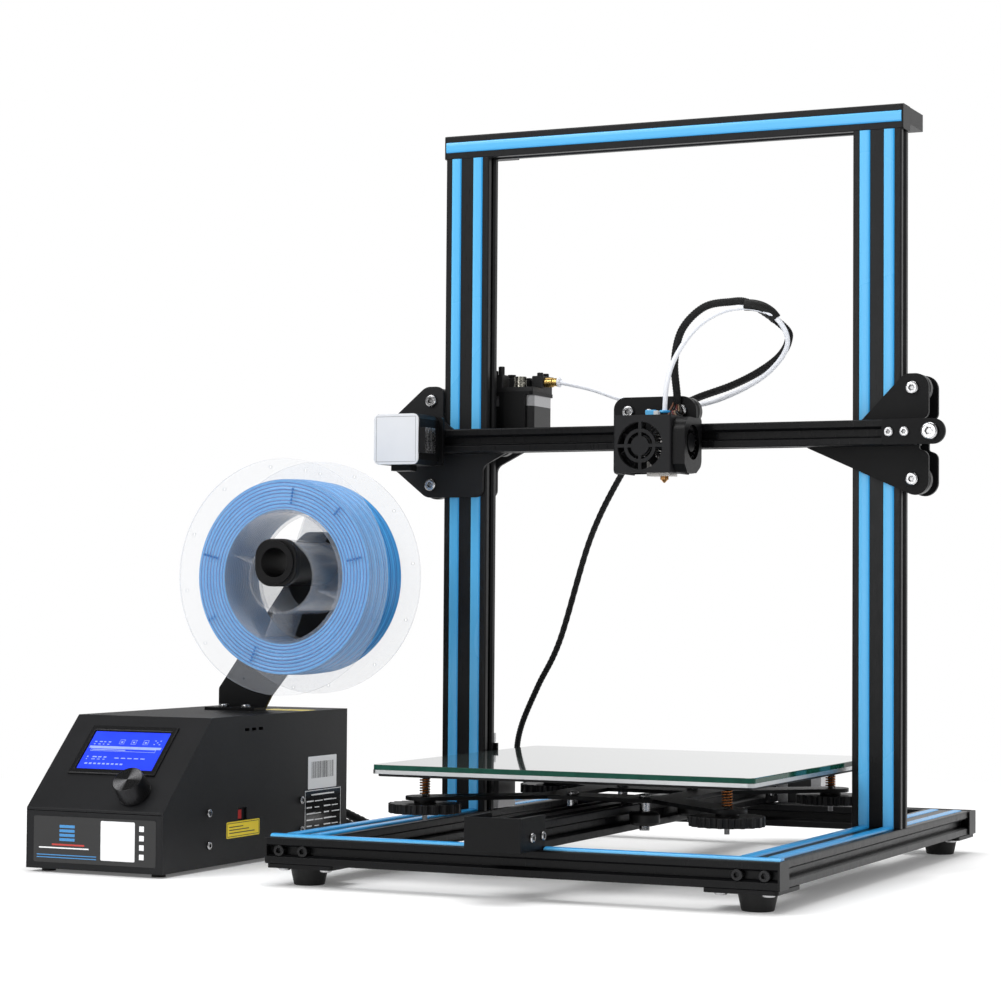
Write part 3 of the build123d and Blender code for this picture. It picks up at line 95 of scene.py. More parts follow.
# ---------------------------------------------------------------- materials
class Graph:
    """Small helper around one material's node tree."""

    def __init__(self, name):
        self.mat = bpy.data.materials.new(name)
        self.mat.use_nodes = True
        self.nodes = self.mat.node_tree.nodes
        self.links = self.mat.node_tree.links
        self.bsdf = self.nodes["Principled BSDF"]
        self.coord = self.nodes.new("ShaderNodeTexCoord").outputs["Object"]

    def set(self, **values):
        """Plain values for the surface's inputs."""
        for key, value in values.items():
            self.bsdf.inputs[key.replace("_", " ")].default_value = value

    def plug(self, value, name):
        """Drives one of the surface's inputs by a node's output."""
        self.links.new(value, self.bsdf.inputs[name])

    def mapping(self, scale):
        node = self.nodes.new("ShaderNodeMapping")
        node.inputs["Scale"].default_value = scale
        self.links.new(self.coord, node.inputs["Vector"])
        return node.outputs["Vector"]

    def split(self, vector):
        """Node whose outputs X, Y and Z are the vector's parts."""
        node = self.nodes.new("ShaderNodeSeparateXYZ")
        self.links.new(vector, node.inputs[0])
        return node

    def normal(self, kind="Normal"):
        return self.nodes.new("ShaderNodeNewGeometry").outputs[kind]

    def dot(self, vector, direction):
        node = self.nodes.new("ShaderNodeVectorMath")
        node.operation = "DOT_PRODUCT"
        node.inputs[1].default_value = direction
        self.links.new(vector, node.inputs[0])
        return node.outputs["Value"]

    def offset(self, centre):
        """Place on the object, measured from a point of the row frame."""
        node = self.nodes.new("ShaderNodeVectorMath")
        node.operation = "SUBTRACT"
        node.inputs[1].default_value = centre
        self.links.new(self.coord, node.inputs[0])
        return node.outputs["Vector"]

    def noise(self, scale, detail=3.0, rough=0.55, stretch=(1, 1, 1)):
        node = self.nodes.new("ShaderNodeTexNoise")
        node.inputs["Scale"].default_value = scale
        node.inputs["Detail"].default_value = detail
        node.inputs["Roughness"].default_value = rough
        self.links.new(self.mapping(stretch), node.inputs["Vector"])
        return node.outputs["Fac"]

    def wave(self, scale, direction):
        node = self.nodes.new("ShaderNodeTexWave")
        node.bands_direction = direction
        node.inputs["Scale"].default_value = scale
        self.links.new(self.coord, node.inputs["Vector"])
        return node.outputs["Fac"]

    def remap(self, value, low, high, a=0.0, b=1.0):
        """Stretches a..b to low..high."""
        node = self.nodes.new("ShaderNodeMapRange")
        node.inputs["From Min"].default_value = a
        node.inputs["From Max"].default_value = b
        node.inputs["To Min"].default_value = low
        node.inputs["To Max"].default_value = high
        self.links.new(value, node.inputs["Value"])
        return node.outputs["Result"]

    def math(self, op, a, b=0.0):
        node = self.nodes.new("ShaderNodeMath")
        node.operation = op
        for socket, value in zip(node.inputs, (a, b)):
            if isinstance(value, (int, float)):
                socket.default_value = value
            else:
                self.links.new(value, socket)
        return node.outputs[0]

    def mix(self, fac, a, b):
        node = self.nodes.new("ShaderNodeMix")
        node.data_type = "RGBA"
        for socket, value in ((node.inputs["Factor"], fac), (node.inputs[6], a), (node.inputs[7], b)):
            if isinstance(value, (int, float)):
                socket.default_value = value
            elif isinstance(value, tuple):
                socket.default_value = (*value, 1.0)[:4]
            else:
                self.links.new(value, socket)
        return node.outputs[2]

    def edge(self, radius):
        """1 on a worn or rounded edge, 0 on flat faces."""
        bevel = self.nodes.new("ShaderNodeBevel")
        bevel.samples = 4
        bevel.inputs["Radius"].default_value = radius
        dot = self.nodes.new("ShaderNodeVectorMath")
        dot.operation = "DOT_PRODUCT"
        self.links.new(bevel.outputs["Normal"], dot.inputs[0])
        self.links.new(self.normal(), dot.inputs[1])
        return self.remap(dot.outputs["Value"], 1.0, 0.0, 0.75, 0.985)

    def bump(self, height, strength, distance, bevel=0.0004):
        """Relief from a height value, over edges rounded by the bevel radius."""
        node = self.nodes.new("ShaderNodeBump")
        node.inputs["Strength"].default_value = strength
        node.inputs["Distance"].default_value = distance
        self.links.new(height, node.inputs["Height"])
        if bevel:
            soft = self.nodes.new("ShaderNodeBevel")
            soft.samples = 4
            soft.inputs["Radius"].default_value = bevel
            self.links.new(soft.outputs["Normal"], node.inputs["Normal"])
        self.plug(node.outputs["Normal"], "Normal")


def coated(name, base, rough, metallic, grain, strength, spread, wear=None, spec=0.5, bevel=0.0004):
    """Painted or moulded surface: fine grain, slow tone change, and worn edges as (colour, amount)."""
    g = Graph(name)
    slow = g.noise(14.0, 2.0)
    fine = g.noise(grain, 4.0, 0.6)
    dark = tuple(c * (1 - spread) for c in base)
    light = tuple(min(1.0, c * (1 + spread) + 0.002) for c in base)
    colour = g.mix(g.remap(slow, 0, 1, 0.3, 0.7), dark, light)
    if wear:
        colour = g.mix(g.math("MULTIPLY", g.edge(bevel), wear[1]), colour, wear[0])
    g.plug(colour, "Base Color")
    g.plug(g.remap(fine, rough - 0.07, rough + 0.09, 0.3, 0.7), "Roughness")
    g.set(Metallic=metallic, Specular_IOR_Level=spec)
    g.bump(fine, strength, 0.0002, bevel)
    return g.mat


def brushed(name, base, rough, along=(1, 1, 1)):
    """Bare metal with fine lines, drawn out where along is small, and painted shade in sockets and gaps."""
    g = Graph(name)
    lines = g.noise(700.0, 4.0, 0.7, along)
    smudge = g.noise(30.0, 3.0)
    bright = g.mix(lines, tuple(c * 0.72 for c in base), base)
    # Painted shade: ambient occlusion darkens the colour in sockets, hollows and gaps between parts.
    shade = g.nodes.new("ShaderNodeAmbientOcclusion")
    shade.samples = 16
    shade.inputs["Distance"].default_value = 0.0025
    painted_shade_mask = g.remap(shade.outputs["AO"], 0.0, 1.0, 0.35, 0.9)
    g.plug(g.mix(painted_shade_mask, tuple(c * 0.04 for c in base), bright), "Base Color")
    grain = g.remap(lines, rough - 0.08, rough + 0.1, 0.3, 0.7)
    g.plug(g.math("ADD", grain, g.remap(smudge, -0.04, 0.06, 0.3, 0.7)), "Roughness")
    g.set(Metallic=1.0)
    g.bump(lines, 0.06, 0.00006, 0.0003)
    return g.mat


def threaded(name, base, pitch):
    """Bright screw thread about +Z, as a wave of the given pitch in metres."""
    g = Graph(name)
    g.plug(g.mix(g.noise(300.0, 2.0), tuple(c * 0.7 for c in base), base), "Base Color")
    ring = g.wave(2 * math.pi / (20 * pitch), "Z")
    g.set(Metallic=1.0, Roughness=0.3)
    g.bump(ring, 0.9, 0.0006, 0.0)
    return g.mat


def anodised_material(name, lit_tone):
    """Black anodised bar with drawn lines; its colour is painted lighter with height, as if lit from above,
    up to the lit colour given as the second argument.
    """
    g = Graph(name)
    # Painted light: the bar grows lighter towards the top, as light falls from above.
    height = g.remap(g.split(g.coord).outputs["Z"], 0.0, 1.0, 0.05, 0.30)
    fine = g.noise(1200.0, 4.0, 0.6, (1, 1, 0.06))
    tone = g.mix(height, (0.003, 0.0031, 0.0036), lit_tone)
    drawn = g.mix(g.remap(fine, 0.0, 0.25), tone, (0.001, 0.001, 0.001))
    g.plug(g.mix(g.math("MULTIPLY", g.edge(0.0004), 0.4), drawn, (0.035, 0.035, 0.038)), "Base Color")
    g.plug(g.remap(fine, 0.25, 0.4, 0.3, 0.7), "Roughness")
    g.set(Specular_IOR_Level=0.17)
    g.bump(fine, 0.05, 0.0002)
    return g.mat


def cover_material():
    """Extruded blue cover: smooth and glossy, lighter on the side of the dome that faces the light."""
    g = Graph("slot_blue")
    towards_light = Vector((-0.42, -0.86, 0.29)).normalized()
    light = g.remap(g.dot(g.normal(), towards_light), 0.0, 1.0, 0.68, 0.97)
    slow = g.noise(5.0, 1.0)
    lit = g.mix(slow, (0.12, 0.50, 0.84), (0.15, 0.54, 0.87))
    g.plug(g.mix(light, (0.022, 0.30, 0.66), lit), "Base Color")
    g.plug(g.remap(slow, 0.24, 0.3), "Roughness")
    g.set(Specular_IOR_Level=0.5)
    return g.mat


def glass_material():
    """Coated build glass: dark mirror top with a green ground edge."""
    g = Graph("build_glass")
    up = g.remap(g.split(g.normal()).outputs["Z"], 0.0, 1.0, 0.6, 0.9)
    tone = g.noise(9.0, 2.0)
    top = g.mix(tone, (0.05, 0.065, 0.062), (0.075, 0.095, 0.09))
    side = g.mix(g.noise(120.0, 3.0), (0.002, 0.03, 0.02), (0.012, 0.09, 0.06))
    g.plug(g.mix(up, side, top), "Base Color")
    g.plug(g.remap(g.noise(60.0, 4.0), 0.03, 0.075), "Roughness")
    g.plug(g.remap(up, 0.1, 0.75), "Specular IOR Level")
    g.plug(g.remap(up, 0.0, 0.6), "Coat Weight")
    g.set(Coat_Roughness=0.02)
    return g.mat


def reel_material():
    """Clear moulding drawn as a thin sheet: mostly see-through, stronger at grazing angles."""
    g = Graph("reel_clear")
    tint = (0.68, 0.71, 0.77)
    g.plug(g.mix(g.noise(25.0, 3.0), tuple(c * 0.9 for c in tint), tint), "Base Color")
    layer = g.nodes.new("ShaderNodeLayerWeight")
    layer.inputs["Blend"].default_value = 0.35
    facing = g.remap(layer.outputs["Facing"], 0.055, 0.5)
    scuff = g.noise(220.0, 5.0, 0.7)
    g.plug(g.math("ADD", facing, g.remap(scuff, -0.008, 0.012, 0.3, 0.7)), "Alpha")
    g.plug(g.remap(scuff, 0.05, 0.17, 0.3, 0.7), "Roughness")
    g.set(Specular_IOR_Level=0.6)
    g.bump(g.noise(90.0, 3.0), 0.04, 0.0004, 0.0)
    return g.mat


def tube_material():
    """Milky guide tube, smooth and even."""
    g = Graph("tube_white")
    tone = g.noise(14.0, 2.0)
    g.plug(g.mix(tone, (0.78, 0.80, 0.85), (0.82, 0.84, 0.89)), "Base Color")
    g.plug(g.remap(tone, 0.33, 0.37), "Roughness")
    g.set(Specular_IOR_Level=0.35)
    return g.mat


def filament_material():
    """Wound strands: painted shade in the gaps between rings on the sides and between turns on the rim."""
    g = Graph("filament_blue")
    part = g.split(g.offset(at(SPOOL_AT[0], 0, SPOOL_AT[1])))
    across = g.math("MULTIPLY", part.outputs["X"], part.outputs["X"])
    upward = g.math("MULTIPLY", part.outputs["Z"], part.outputs["Z"])
    radius = g.math("SQRT", g.math("ADD", across, upward))
    facing = g.math("ABSOLUTE", g.split(g.normal("True Normal")).outputs["Y"])
    pick = g.nodes.new("ShaderNodeMix")
    g.links.new(g.math("GREATER_THAN", facing, 0.6), pick.inputs["Factor"])
    g.links.new(part.outputs["Y"], pick.inputs["A"])
    wobble = g.math("MULTIPLY", g.noise(9.0, 1.0), 0.0016)
    g.links.new(g.math("ADD", radius, wobble), pick.inputs["B"])
    turns = g.math("MULTIPLY", pick.outputs["Result"], math.pi / STRAND_PITCH)
    strand = g.math("ABSOLUTE", g.math("SINE", turns))
    body = g.mix(g.noise(30.0, 2.0), (0.05, 0.34, 0.78), (0.08, 0.42, 0.85))
    # Painted shade: the blue darkens in the gaps between strands.
    g.plug(g.mix(g.remap(strand, 0.0, 1.0, 0.12, 0.75), (0.004, 0.10, 0.40), body), "Base Color")
    g.plug(g.remap(strand, 0.4, 0.25), "Roughness")
    g.set(Specular_IOR_Level=0.5)
    g.bump(strand, 0.8, 0.0009, 0.0)
    return g.mat


def spun_material():
    """Side of the knob: dark metal with a fine grain."""
    g = Graph("knob_spun")
    lines = g.noise(1500.0, 2.0)
    g.plug(g.mix(lines, (0.012, 0.012, 0.013), (0.024, 0.024, 0.026)), "Base Color")
    g.plug(g.remap(lines, 0.22, 0.36), "Roughness")
    g.set(Metallic=0.75)
    g.bump(lines, 0.08, 0.0001, 0.0003)
    return g.mat


def knob_face_material():
    """Turned end of the knob: bright wedge-shaped glints round its axis."""
    g = Graph("knob_face")
    place = g.offset(at(*on_slope(KNOB_X, KNOB_UP, 0.0)))
    angle = g.math("ARCTAN2", g.dot(place, X), g.dot(place, SLOPE_N.cross(X)))
    glint = g.math("SINE", g.math("MULTIPLY", angle, 2.0))
    lines = g.noise(1400.0, 2.0)
    tone = g.mix(g.remap(glint, 0.0, 1.0, -0.2, 1.0), (0.012, 0.012, 0.013), (0.3, 0.3, 0.31))
    g.plug(g.mix(g.remap(lines, 0.0, 0.3, 0.3, 0.7), tone, (0.02, 0.02, 0.02)), "Base Color")
    g.plug(g.remap(lines, 0.2, 0.34), "Roughness")
    g.set(Metallic=0.6)
    g.bump(lines, 0.08, 0.0001, 0.0003)
    return g.mat


def braid_material():
    """Woven sleeve: a fine pattern of small dark cells."""
    g = Graph("braid_black")
    voronoi = g.nodes.new("ShaderNodeTexVoronoi")
    voronoi.inputs["Scale"].default_value = 1100.0
    g.links.new(g.coord, voronoi.inputs["Vector"])
    weave = voronoi.outputs["Distance"]
    g.plug(g.mix(weave, (0.009, 0.009, 0.0095), (0.0004, 0.0004, 0.0004)), "Base Color")
    g.plug(g.remap(g.noise(900.0, 2.0), 0.45, 0.7), "Roughness")
    g.set(Specular_IOR_Level=0.3)
    g.bump(weave, 0.8, 0.0005, 0.0)
    return g.mat


def motor_case(name, axis, face, length):
    """Black middle between bright end caps, by the distance along its axis from the motor's front."""
    g = Graph(name)
    depth = g.math("ABSOLUTE", g.math("SUBTRACT", g.split(g.coord).outputs[axis], face))
    stack = g.math("MULTIPLY", g.math("GREATER_THAN", depth, MOTOR_CAP),
                   g.math("LESS_THAN", depth, length - MOTOR_CAP))
    grain = g.noise(600.0, 3.0)
    cap = g.mix(grain, (0.42, 0.42, 0.43), (0.58, 0.58, 0.59))
    g.plug(g.mix(stack, cap, (0.006, 0.006, 0.0065)), "Base Color")
    g.plug(g.remap(stack, 0.85, 0.0), "Metallic")
    g.plug(g.remap(grain, 0.32, 0.46), "Roughness")
    g.bump(grain, 0.12, 0.0001)
    return g.mat


def screen_material():
    """Lit blue panel."""
    g = Graph("screen_lit")
    glow = g.noise(40.0, 2.0)
    g.plug(g.mix(glow, (0.012, 0.03, 0.62), (0.02, 0.06, 0.8)), "Base Color")
    g.plug(g.mix(glow, (0.01, 0.02, 0.75), (0.02, 0.05, 0.95)), "Emission Color")
    g.set(Emission_Strength=0.42, Roughness=0.12)
    return g.mat


def glyph_material():
    """Pale lit marks on the screen."""
    g = Graph("screen_marks")
    tone = g.noise(200.0, 2.0)
    g.plug(g.mix(tone, (0.2, 0.28, 0.75), (0.3, 0.38, 0.85)), "Base Color")
    g.plug(g.mix(tone, (0.35, 0.45, 1.0), (0.45, 0.55, 1.0)), "Emission Color")
    g.set(Emission_Strength=0.12, Roughness=0.3)
    return g.mat


def label_material(name, colour, rough=0.35):
    """Printed film, plain."""
    g = Graph(name)
    tone = g.noise(60.0, 3.0)
    g.plug(g.mix(tone, tuple(c * 0.93 for c in colour), colour), "Base Color")
    g.plug(g.remap(tone, rough - 0.05, rough + 0.08), "Roughness")
    g.bump(g.noise(500.0, 2.0), 0.05, 0.0001, 0.0)
    return g.mat


# Lines drawn out along X or Z on brushed metal.
ALONG_X = (0.03, 1, 1)
ALONG_Z = (1, 1, 0.03)

# Materials that bear the names of the record's material slots.
M = {
    "matt_anodised": anodised_material("anodised_black", (0.0145, 0.0148, 0.0158)),
    "black_powder": coated("powder_black", (0.003, 0.0031, 0.0035), 0.4, 0.0, 1500, 0.3, 0.15,
                           ((0.03, 0.03, 0.033), 0.4), spec=0.16),
    "charcoal_powder": coated("powder_charcoal", (0.0085, 0.0087, 0.0098), 0.46, 0.0, 1700, 0.45, 0.1,
                              ((0.05, 0.05, 0.053), 0.4), spec=0.22),
    "blue_plastic": cover_material(),
    "black_plastic": coated("moulded_black", (0.003, 0.003, 0.0035), 0.36, 0.0, 1300, 0.15, 0.15,
                            ((0.03, 0.03, 0.03), 0.5), spec=0.2),
    "black_rubber": coated("rubber_black", (0.004, 0.004, 0.004), 0.55, 0.0, 900, 0.3, 0.2,
                           ((0.02, 0.02, 0.02), 0.5), spec=0.3),
    "belt": coated("belt_black", (0.012, 0.012, 0.012), 0.66, 0.0, 1600, 0.5, 0.2),
    "steel": brushed("steel_turned", (0.55, 0.55, 0.56), 0.26, ALONG_Z),
    "bright_screw": brushed("screw_bright", (0.62, 0.62, 0.63), 0.22),
    "black_steel": coated("steel_black", (0.012, 0.012, 0.013), 0.3, 0.6, 900, 0.1, 0.2,
                          ((0.14, 0.14, 0.14), 0.6)),
    "aluminium": brushed("aluminium_plate", (0.62, 0.63, 0.64), 0.34, ALONG_X),
    "spring": brushed("spring_copper", (0.72, 0.26, 0.08), 0.25),
    "knob_black": coated("knob_black", (0.004, 0.004, 0.0045), 0.4, 0.0, 900, 0.25, 0.15,
                         ((0.09, 0.09, 0.09), 0.6), spec=0.25, bevel=0.0006),
    "wheel": coated("wheel_black", (0.01, 0.01, 0.01), 0.36, 0.0, 900, 0.1, 0.2,
                    ((0.06, 0.06, 0.06), 0.5)),
    "cast_black": coated("cast_black", (0.009, 0.009, 0.0098), 0.5, 0.2, 700, 0.5, 0.2,
                         ((0.08, 0.08, 0.085), 0.5)),
    "hotend": brushed("hotend_metal", (0.62, 0.60, 0.58), 0.3),
    "gear_steel": brushed("gear_steel", (0.6, 0.58, 0.5), 0.25),
    "electronics": brushed("sheet_bare", (0.5, 0.51, 0.52), 0.38, ALONG_X),
    "dark_glass": glass_material(),
    "clear_reel": reel_material(),
    "display": coated("display_frame", (0.004, 0.004, 0.0045), 0.2, 0.0, 900, 0.05, 0.1),
    "clear_tube": tube_material(),
    "spun_metal": spun_material(),
}

# Further materials, for faces and pieces that differ from their node's slot.
M.update({
    # Shaded copy of the anodised black for the beam: darker, with almost none of the painted light from
    # above.
    "beam_anodised": anodised_material("beam_shaded_black", (0.0035, 0.0036, 0.0042)),
    "brass": brushed("brass_bright", (0.75, 0.5, 0.16), 0.22),
    "copper": brushed("copper_nozzle", (0.75, 0.38, 0.14), 0.25),
    "leadscrew": threaded("screw_thread", (0.55, 0.55, 0.57), 0.002),
    "level_thread": threaded("level_thread", (0.6, 0.6, 0.62), 0.0007),
    "filament_blue": filament_material(),
    "knob_face": knob_face_material(),
    "braid": braid_material(),
    "plug_white": coated("plug_white", (0.6, 0.62, 0.63), 0.35, 0.0, 900, 0.05, 0.05),
    "screen": screen_material(),
    "marks": glyph_material(),
    "label_white": label_material("label_white", (0.86, 0.87, 0.88), 0.3),
    "badge": label_material("motor_badge_film", (0.68, 0.69, 0.71), 0.55),
    "badge_grey": label_material("badge_grey", (0.2, 0.2, 0.21), 0.4),
    "reel_print": label_material("reel_print", (0.01, 0.12, 0.38), 0.3),
    "label_yellow": label_material("label_yellow", (0.88, 0.68, 0.03)),
    "label_gloss": label_material("label_gloss", (0.006, 0.006, 0.0065), 0.1),
    "label_ink": label_material("label_ink", (0.02, 0.02, 0.022), 0.4),
    "front_blue": label_material("front_blue", (0.05, 0.25, 0.55), 0.3),
    "mark_red": label_material("mark_red", (0.5, 0.04, 0.03), 0.3),
    "switch_red": label_material("switch_red", (0.4, 0.01, 0.008), 0.3),
})


# ---------------------------------------------------------------- which material goes where
def assign(name, *mats):
    """Gives a CAD node its materials, in the order of their index."""
    mesh = NODES[name].data
    mesh.materials.clear()
    for mat in mats:
        mesh.materials.append(mat)


def paint(name, rule):
    """Chooses each face's material by the face's centre, in millimetres, and its normal."""
    for face in NODES[name].data.polygons:
        c = face.center
        face.material_index = rule((c.x * 1000 - PX, c.y * 1000 - PY, c.z * 1000), face.normal)


def off_axis(c, first, second, centre):
    """True beyond the square case of a motor, where its plug sits."""
    return abs(c[first] - centre[0]) > MOTOR_HALF or abs(c[second] - centre[1]) > MOTOR_HALF


def frame_motor_rule(c, n):
    """Bed motor behind, lift motor at the left, each with a plastic plug."""
    if c[1] > 200:
        return 2 if off_axis(c, 1, 2, BED_MOTOR_AT) else 0
    return 2 if off_axis(c, 0, 1, LEADSCREW_AT) else 1


def gantry_motor_rule(c, n):
    """Belt motor all black; extruder motor with a plastic plug."""
    if c[2] > 371 or c[0] > -190 and c[1] > 60:
        return 2 if off_axis(c, 0, 1, EXTRUDER_MOTOR_AT) else 1
    return 0


def spool_rule(c, n):
    """Core of the winding, between the discs."""
    r = math.hypot(c[0] - SPOOL_AT[0], c[2] - SPOOL_AT[1])
    return 1 if r > 55.2 and SPOOL_Y0 + 2.6 < c[1] < SPOOL_Y1 - 2.6 else 0


def hardware_rule(c, n):
    """Brass tube fitting and lead-screw nut, bright front bolts, the rest black."""
    if -133 < c[0] < -119 and c[1] > 80 and c[2] > 395:
        return 1
    if math.hypot(c[0] - LEADSCREW_AT[0], c[1] - LEADSCREW_AT[1]) < 12 and c[2] < 352:
        return 1
    return 2 if c[1] < 33 else 0


def hotend_rule(c, n):
    """Copper nozzle below, black nut on top."""
    if c[2] < 315:
        return 1
    return 2 if c[2] > 355.4 else 0


def bed_hardware_rule(c, n):
    """Threads of the four level screws and the black belt clamp under the carriage."""
    if abs(abs(c[0]) - 124) < 3:
        return 1
    return 2 if 55 < c[2] < 60 and 7 < c[0] < 13 else 0


for row in frame["record"]["subparts"]:
    if row["material_slot"] in M:
        assign(row["node"], M[row["material_slot"]])
# Painted light: the left gantry plates take the lighter charcoal powder, a lit copy of the black plates.
assign("left_gantry_plates", M["charcoal_powder"])
# Painted shade: the beam takes the darker, shaded copy of the anodised black.
assign("x_beam", M["beam_anodised"])

assign("frame_motors", motor_case("bed_motor_case", "X", at(22.5, 0, 0).x, 0.040),
       motor_case("lift_motor_case", "Z", 0.0712, 0.0335), M["black_plastic"])
paint("frame_motors", frame_motor_rule)
assign("gantry_motors", M["black_powder"], motor_case("extruder_motor_case", "Z", 0.3905, 0.040),
       M["black_plastic"])
paint("gantry_motors", gantry_motor_rule)
assign("spool", M["clear_reel"], M["filament_blue"])
paint("spool", spool_rule)
assign("gantry_hardware", M["black_steel"], M["brass"], M["bright_screw"])
paint("gantry_hardware", hardware_rule)
assign("hotend", M["hotend"], M["copper"], M["black_plastic"])
paint("hotend", hotend_rule)
assign("bed_hardware", M["bright_screw"], M["level_thread"], M["black_plastic"])
paint("bed_hardware", bed_hardware_rule)

# Coupling under the lead screw; bright heads in front of the black bolts; bright switch levers.
assign("leadscrew", M["leadscrew"], M["aluminium"])
paint("leadscrew", lambda c, n: c[2] < 101)
assign("head_bolts", M["black_steel"], M["bright_screw"])
paint("head_bolts", lambda c, n: c[1] < 8.3)
assign("x_limit_switch", M["black_plastic"], M["bright_screw"])
paint("x_limit_switch", lambda c, n: c[0] > -188.3)

# Knob's end, which faces out of the slope; sheet under the heated plate; black fan and inlet behind.
assign("encoder_knob", M["spun_metal"], M["knob_face"])
paint("encoder_knob", lambda c, n: n.z > 0.66 and n.y < -0.65)
assign("heated_bed", M["aluminium"], M["black_rubber"])
paint("heated_bed", lambda c, n: c[2] < 80.7)
assign("box_electronics", M["electronics"], M["black_plastic"])
paint("box_electronics", lambda c, n: c[1] > 18)


# ---------------------------------------------------------------- mesh pieces
def mesh_object(name, bm, mat, smooth=True):
    """Turns a bmesh into an object of one material."""
    data = bpy.data.meshes.new(name)
    bmesh.ops.recalc_face_normals(bm, faces=bm.faces)
    bm.to_mesh(data)
    bm.free()
    data.materials.append(mat)
    if smooth:
        for face in data.polygons:
            face.use_smooth = True
    obj = bpy.data.objects.new(name, data)
    bpy.context.scene.collection.objects.link(obj)
    return obj


def catmull(points, steps):
    """Smooth run of points through the given ones."""
    pts = [points[0]] + list(points) + [points[-1]]
    out = []
    for i in range(1, len(pts) - 2):
        p0, p1, p2, p3 = pts[i - 1:i + 3]
        for k in range(steps):
            t = k / steps
            out.append(0.5 * (2 * p1 + (p2 - p0) * t + (2 * p0 - 5 * p1 + 4 * p2 - p3) * t * t
                              + (3 * p1 - p0 - 3 * p2 + p3) * t ** 3))
    out.append(pts[-2])
    return out


def tube_mesh(bm, path, radius, sides=12, profile=None):
    """Sweep a round section along a run of points; profile scales the radius along it."""
    normal = None
    rings = []
    for i, p in enumerate(path):
        tangent = (path[min(i + 1, len(path) - 1)] - path[max(i - 1, 0)]).normalized()
        if normal is None:
            normal = tangent.orthogonal().normalized()
        normal = (normal - tangent * normal.dot(tangent)).normalized()
        binormal = tangent.cross(normal)
        r = radius * (profile(i) if profile else 1.0)
        ring = []
        for k in range(sides):
            a = 2 * math.pi * k / sides
            ring.append(bm.verts.new(p + (normal * math.cos(a) + binormal * math.sin(a)) * r))
        rings.append(ring)
    for a, b in zip(rings, rings[1:]):
        for k in range(sides):
            bm.faces.new((a[k], a[(k + 1) % sides], b[(k + 1) % sides], b[k]))
    bm.faces.new(list(reversed(rings[0])))
    bm.faces.new(rings[-1])


def cable(name, points, radius, mat, body=None, steps=10, sides=12, profile=None):
    bm = bmesh.new()
    path = catmull([at(*p) for p in points], steps)
    tube_mesh(bm, path, radius / 1000, sides, profile)
    obj = mesh_object(name, bm, mat)
    if body:
        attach(obj, body)
    return obj


def plate(name, corner, u, v, size, thick, mat, body, radius=1.0, segments=5):
    """Thin rounded plate: corner and size in mm, u and v its directions; thickness along u x v."""
    w, h = size
    bm = bmesh.new()
    normal = u.cross(v)
    rim = []
    for cx, cy, start in ((w - radius, h - radius, 0), (radius, h - radius, 90), (radius, radius, 180),
                          (w - radius, radius, 270)):
        for k in range(segments + 1):
            a = math.radians(start + 90 * k / segments)
            rim.append((cx + radius * math.cos(a), cy + radius * math.sin(a)))
    inset = min(0.25 * thick, radius * 0.5)
    layers = ((0.0, 0.0), (thick - inset, 0.0), (thick, inset))
    rings = []
    for height, shrink in layers:
        ring = []
        for x, y in rim:
            sx = w / 2 + (x - w / 2) * (1 - 2 * shrink / w)
            sy = h / 2 + (y - h / 2) * (1 - 2 * shrink / h)
            ring.append(bm.verts.new(at(*corner) + (u * sx + v * sy + normal * height) / 1000))
        rings.append(ring)
    n = len(rim)
    for a, b in zip(rings, rings[1:]):
        for k in range(n):
            bm.faces.new((a[k], a[(k + 1) % n], b[(k + 1) % n], b[k]))
    bm.faces.new(list(reversed(rings[0])))
    bm.faces.new(rings[-1])
    obj = mesh_object(name, bm, mat, smooth=False)
    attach(obj, body)
    return obj


# ---------------------------------------------------------------- tube and looms
# Guide tube from the extruder to the print head.
TUBE_PATH = [
    (-124.5, 94.4, 403), (-120, 94.4, 403), (-89, 92.5, 396), (-58, 88, 386), (-19, 75, 378.5),
    (23, 58, 377.5), (56, 44, 384), (89, 28, 396.5), (110, 16, 412.5), (115.5, 8, 427), (107, 0, 442),
    (88, -4, 449), (65.5, -6, 446.5), (44, -7, 434), (27, -7, 412), (19.5, -7, 391), (17.5, -7, 368),
    (17.5, -7, 360),
]
guide = cable("guide_tube", TUBE_PATH, 2.0, M["clear_tube"], None, 12, 16)
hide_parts("bowden_tube")
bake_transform(guide)

# Braided loom: from the head round the same loop, then down behind the beam to the base.
LOOM_UPPER = [
    (23.4, 5, 374), (23.4, 5, 382), (22.0, 3, 409), (29.4, 0, 434), (48, -1, 451), (70, -2, 454.5),
    (88, -1, 452.5), (112, 12, 434), (113.5, 18, 424), (103, 26, 412), (81, 38, 401), (53, 52, 392),
    (20, 66, 384.5), (0, 73, 378),
]
LOOM_LOWER = [
    (0, 73, 378), (-20, 76, 362), (-40, 78, 339), (-57, 80, 319), (-88, 90, 267), (-124, 110, 181),
    (-150, 122, 140), (-170, 132, 105), (-178, 140, 80), (-178, 150, 62), (-176, 165, 50), (-172, 190, 45),
]


def ribs(i):
    """Every other ring a little wider, as on a braided sleeve."""
    return 1.0 + 0.05 * (1 if i % 2 else -1)


upper = cable("loom_upper", LOOM_UPPER, 3.1, M["braid"], None, 22, 14, ribs)
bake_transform(upper)
lower = cable("loom_lower", LOOM_LOWER, 2.6, M["braid"], None, 22, 14, ribs)
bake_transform(lower)

# Shrink sleeve that ties tube and loom together at the top of the loop.
SLEEVE = [(84, -3, 451.5), (91, -2.5, 451), (98, -1, 449), (104, 1.5, 445), (108, 3, 440)]
sleeve = cable("loop_sleeve", SLEEVE, 4.6, M["black_rubber"], None, 8, 16)
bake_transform(sleeve)

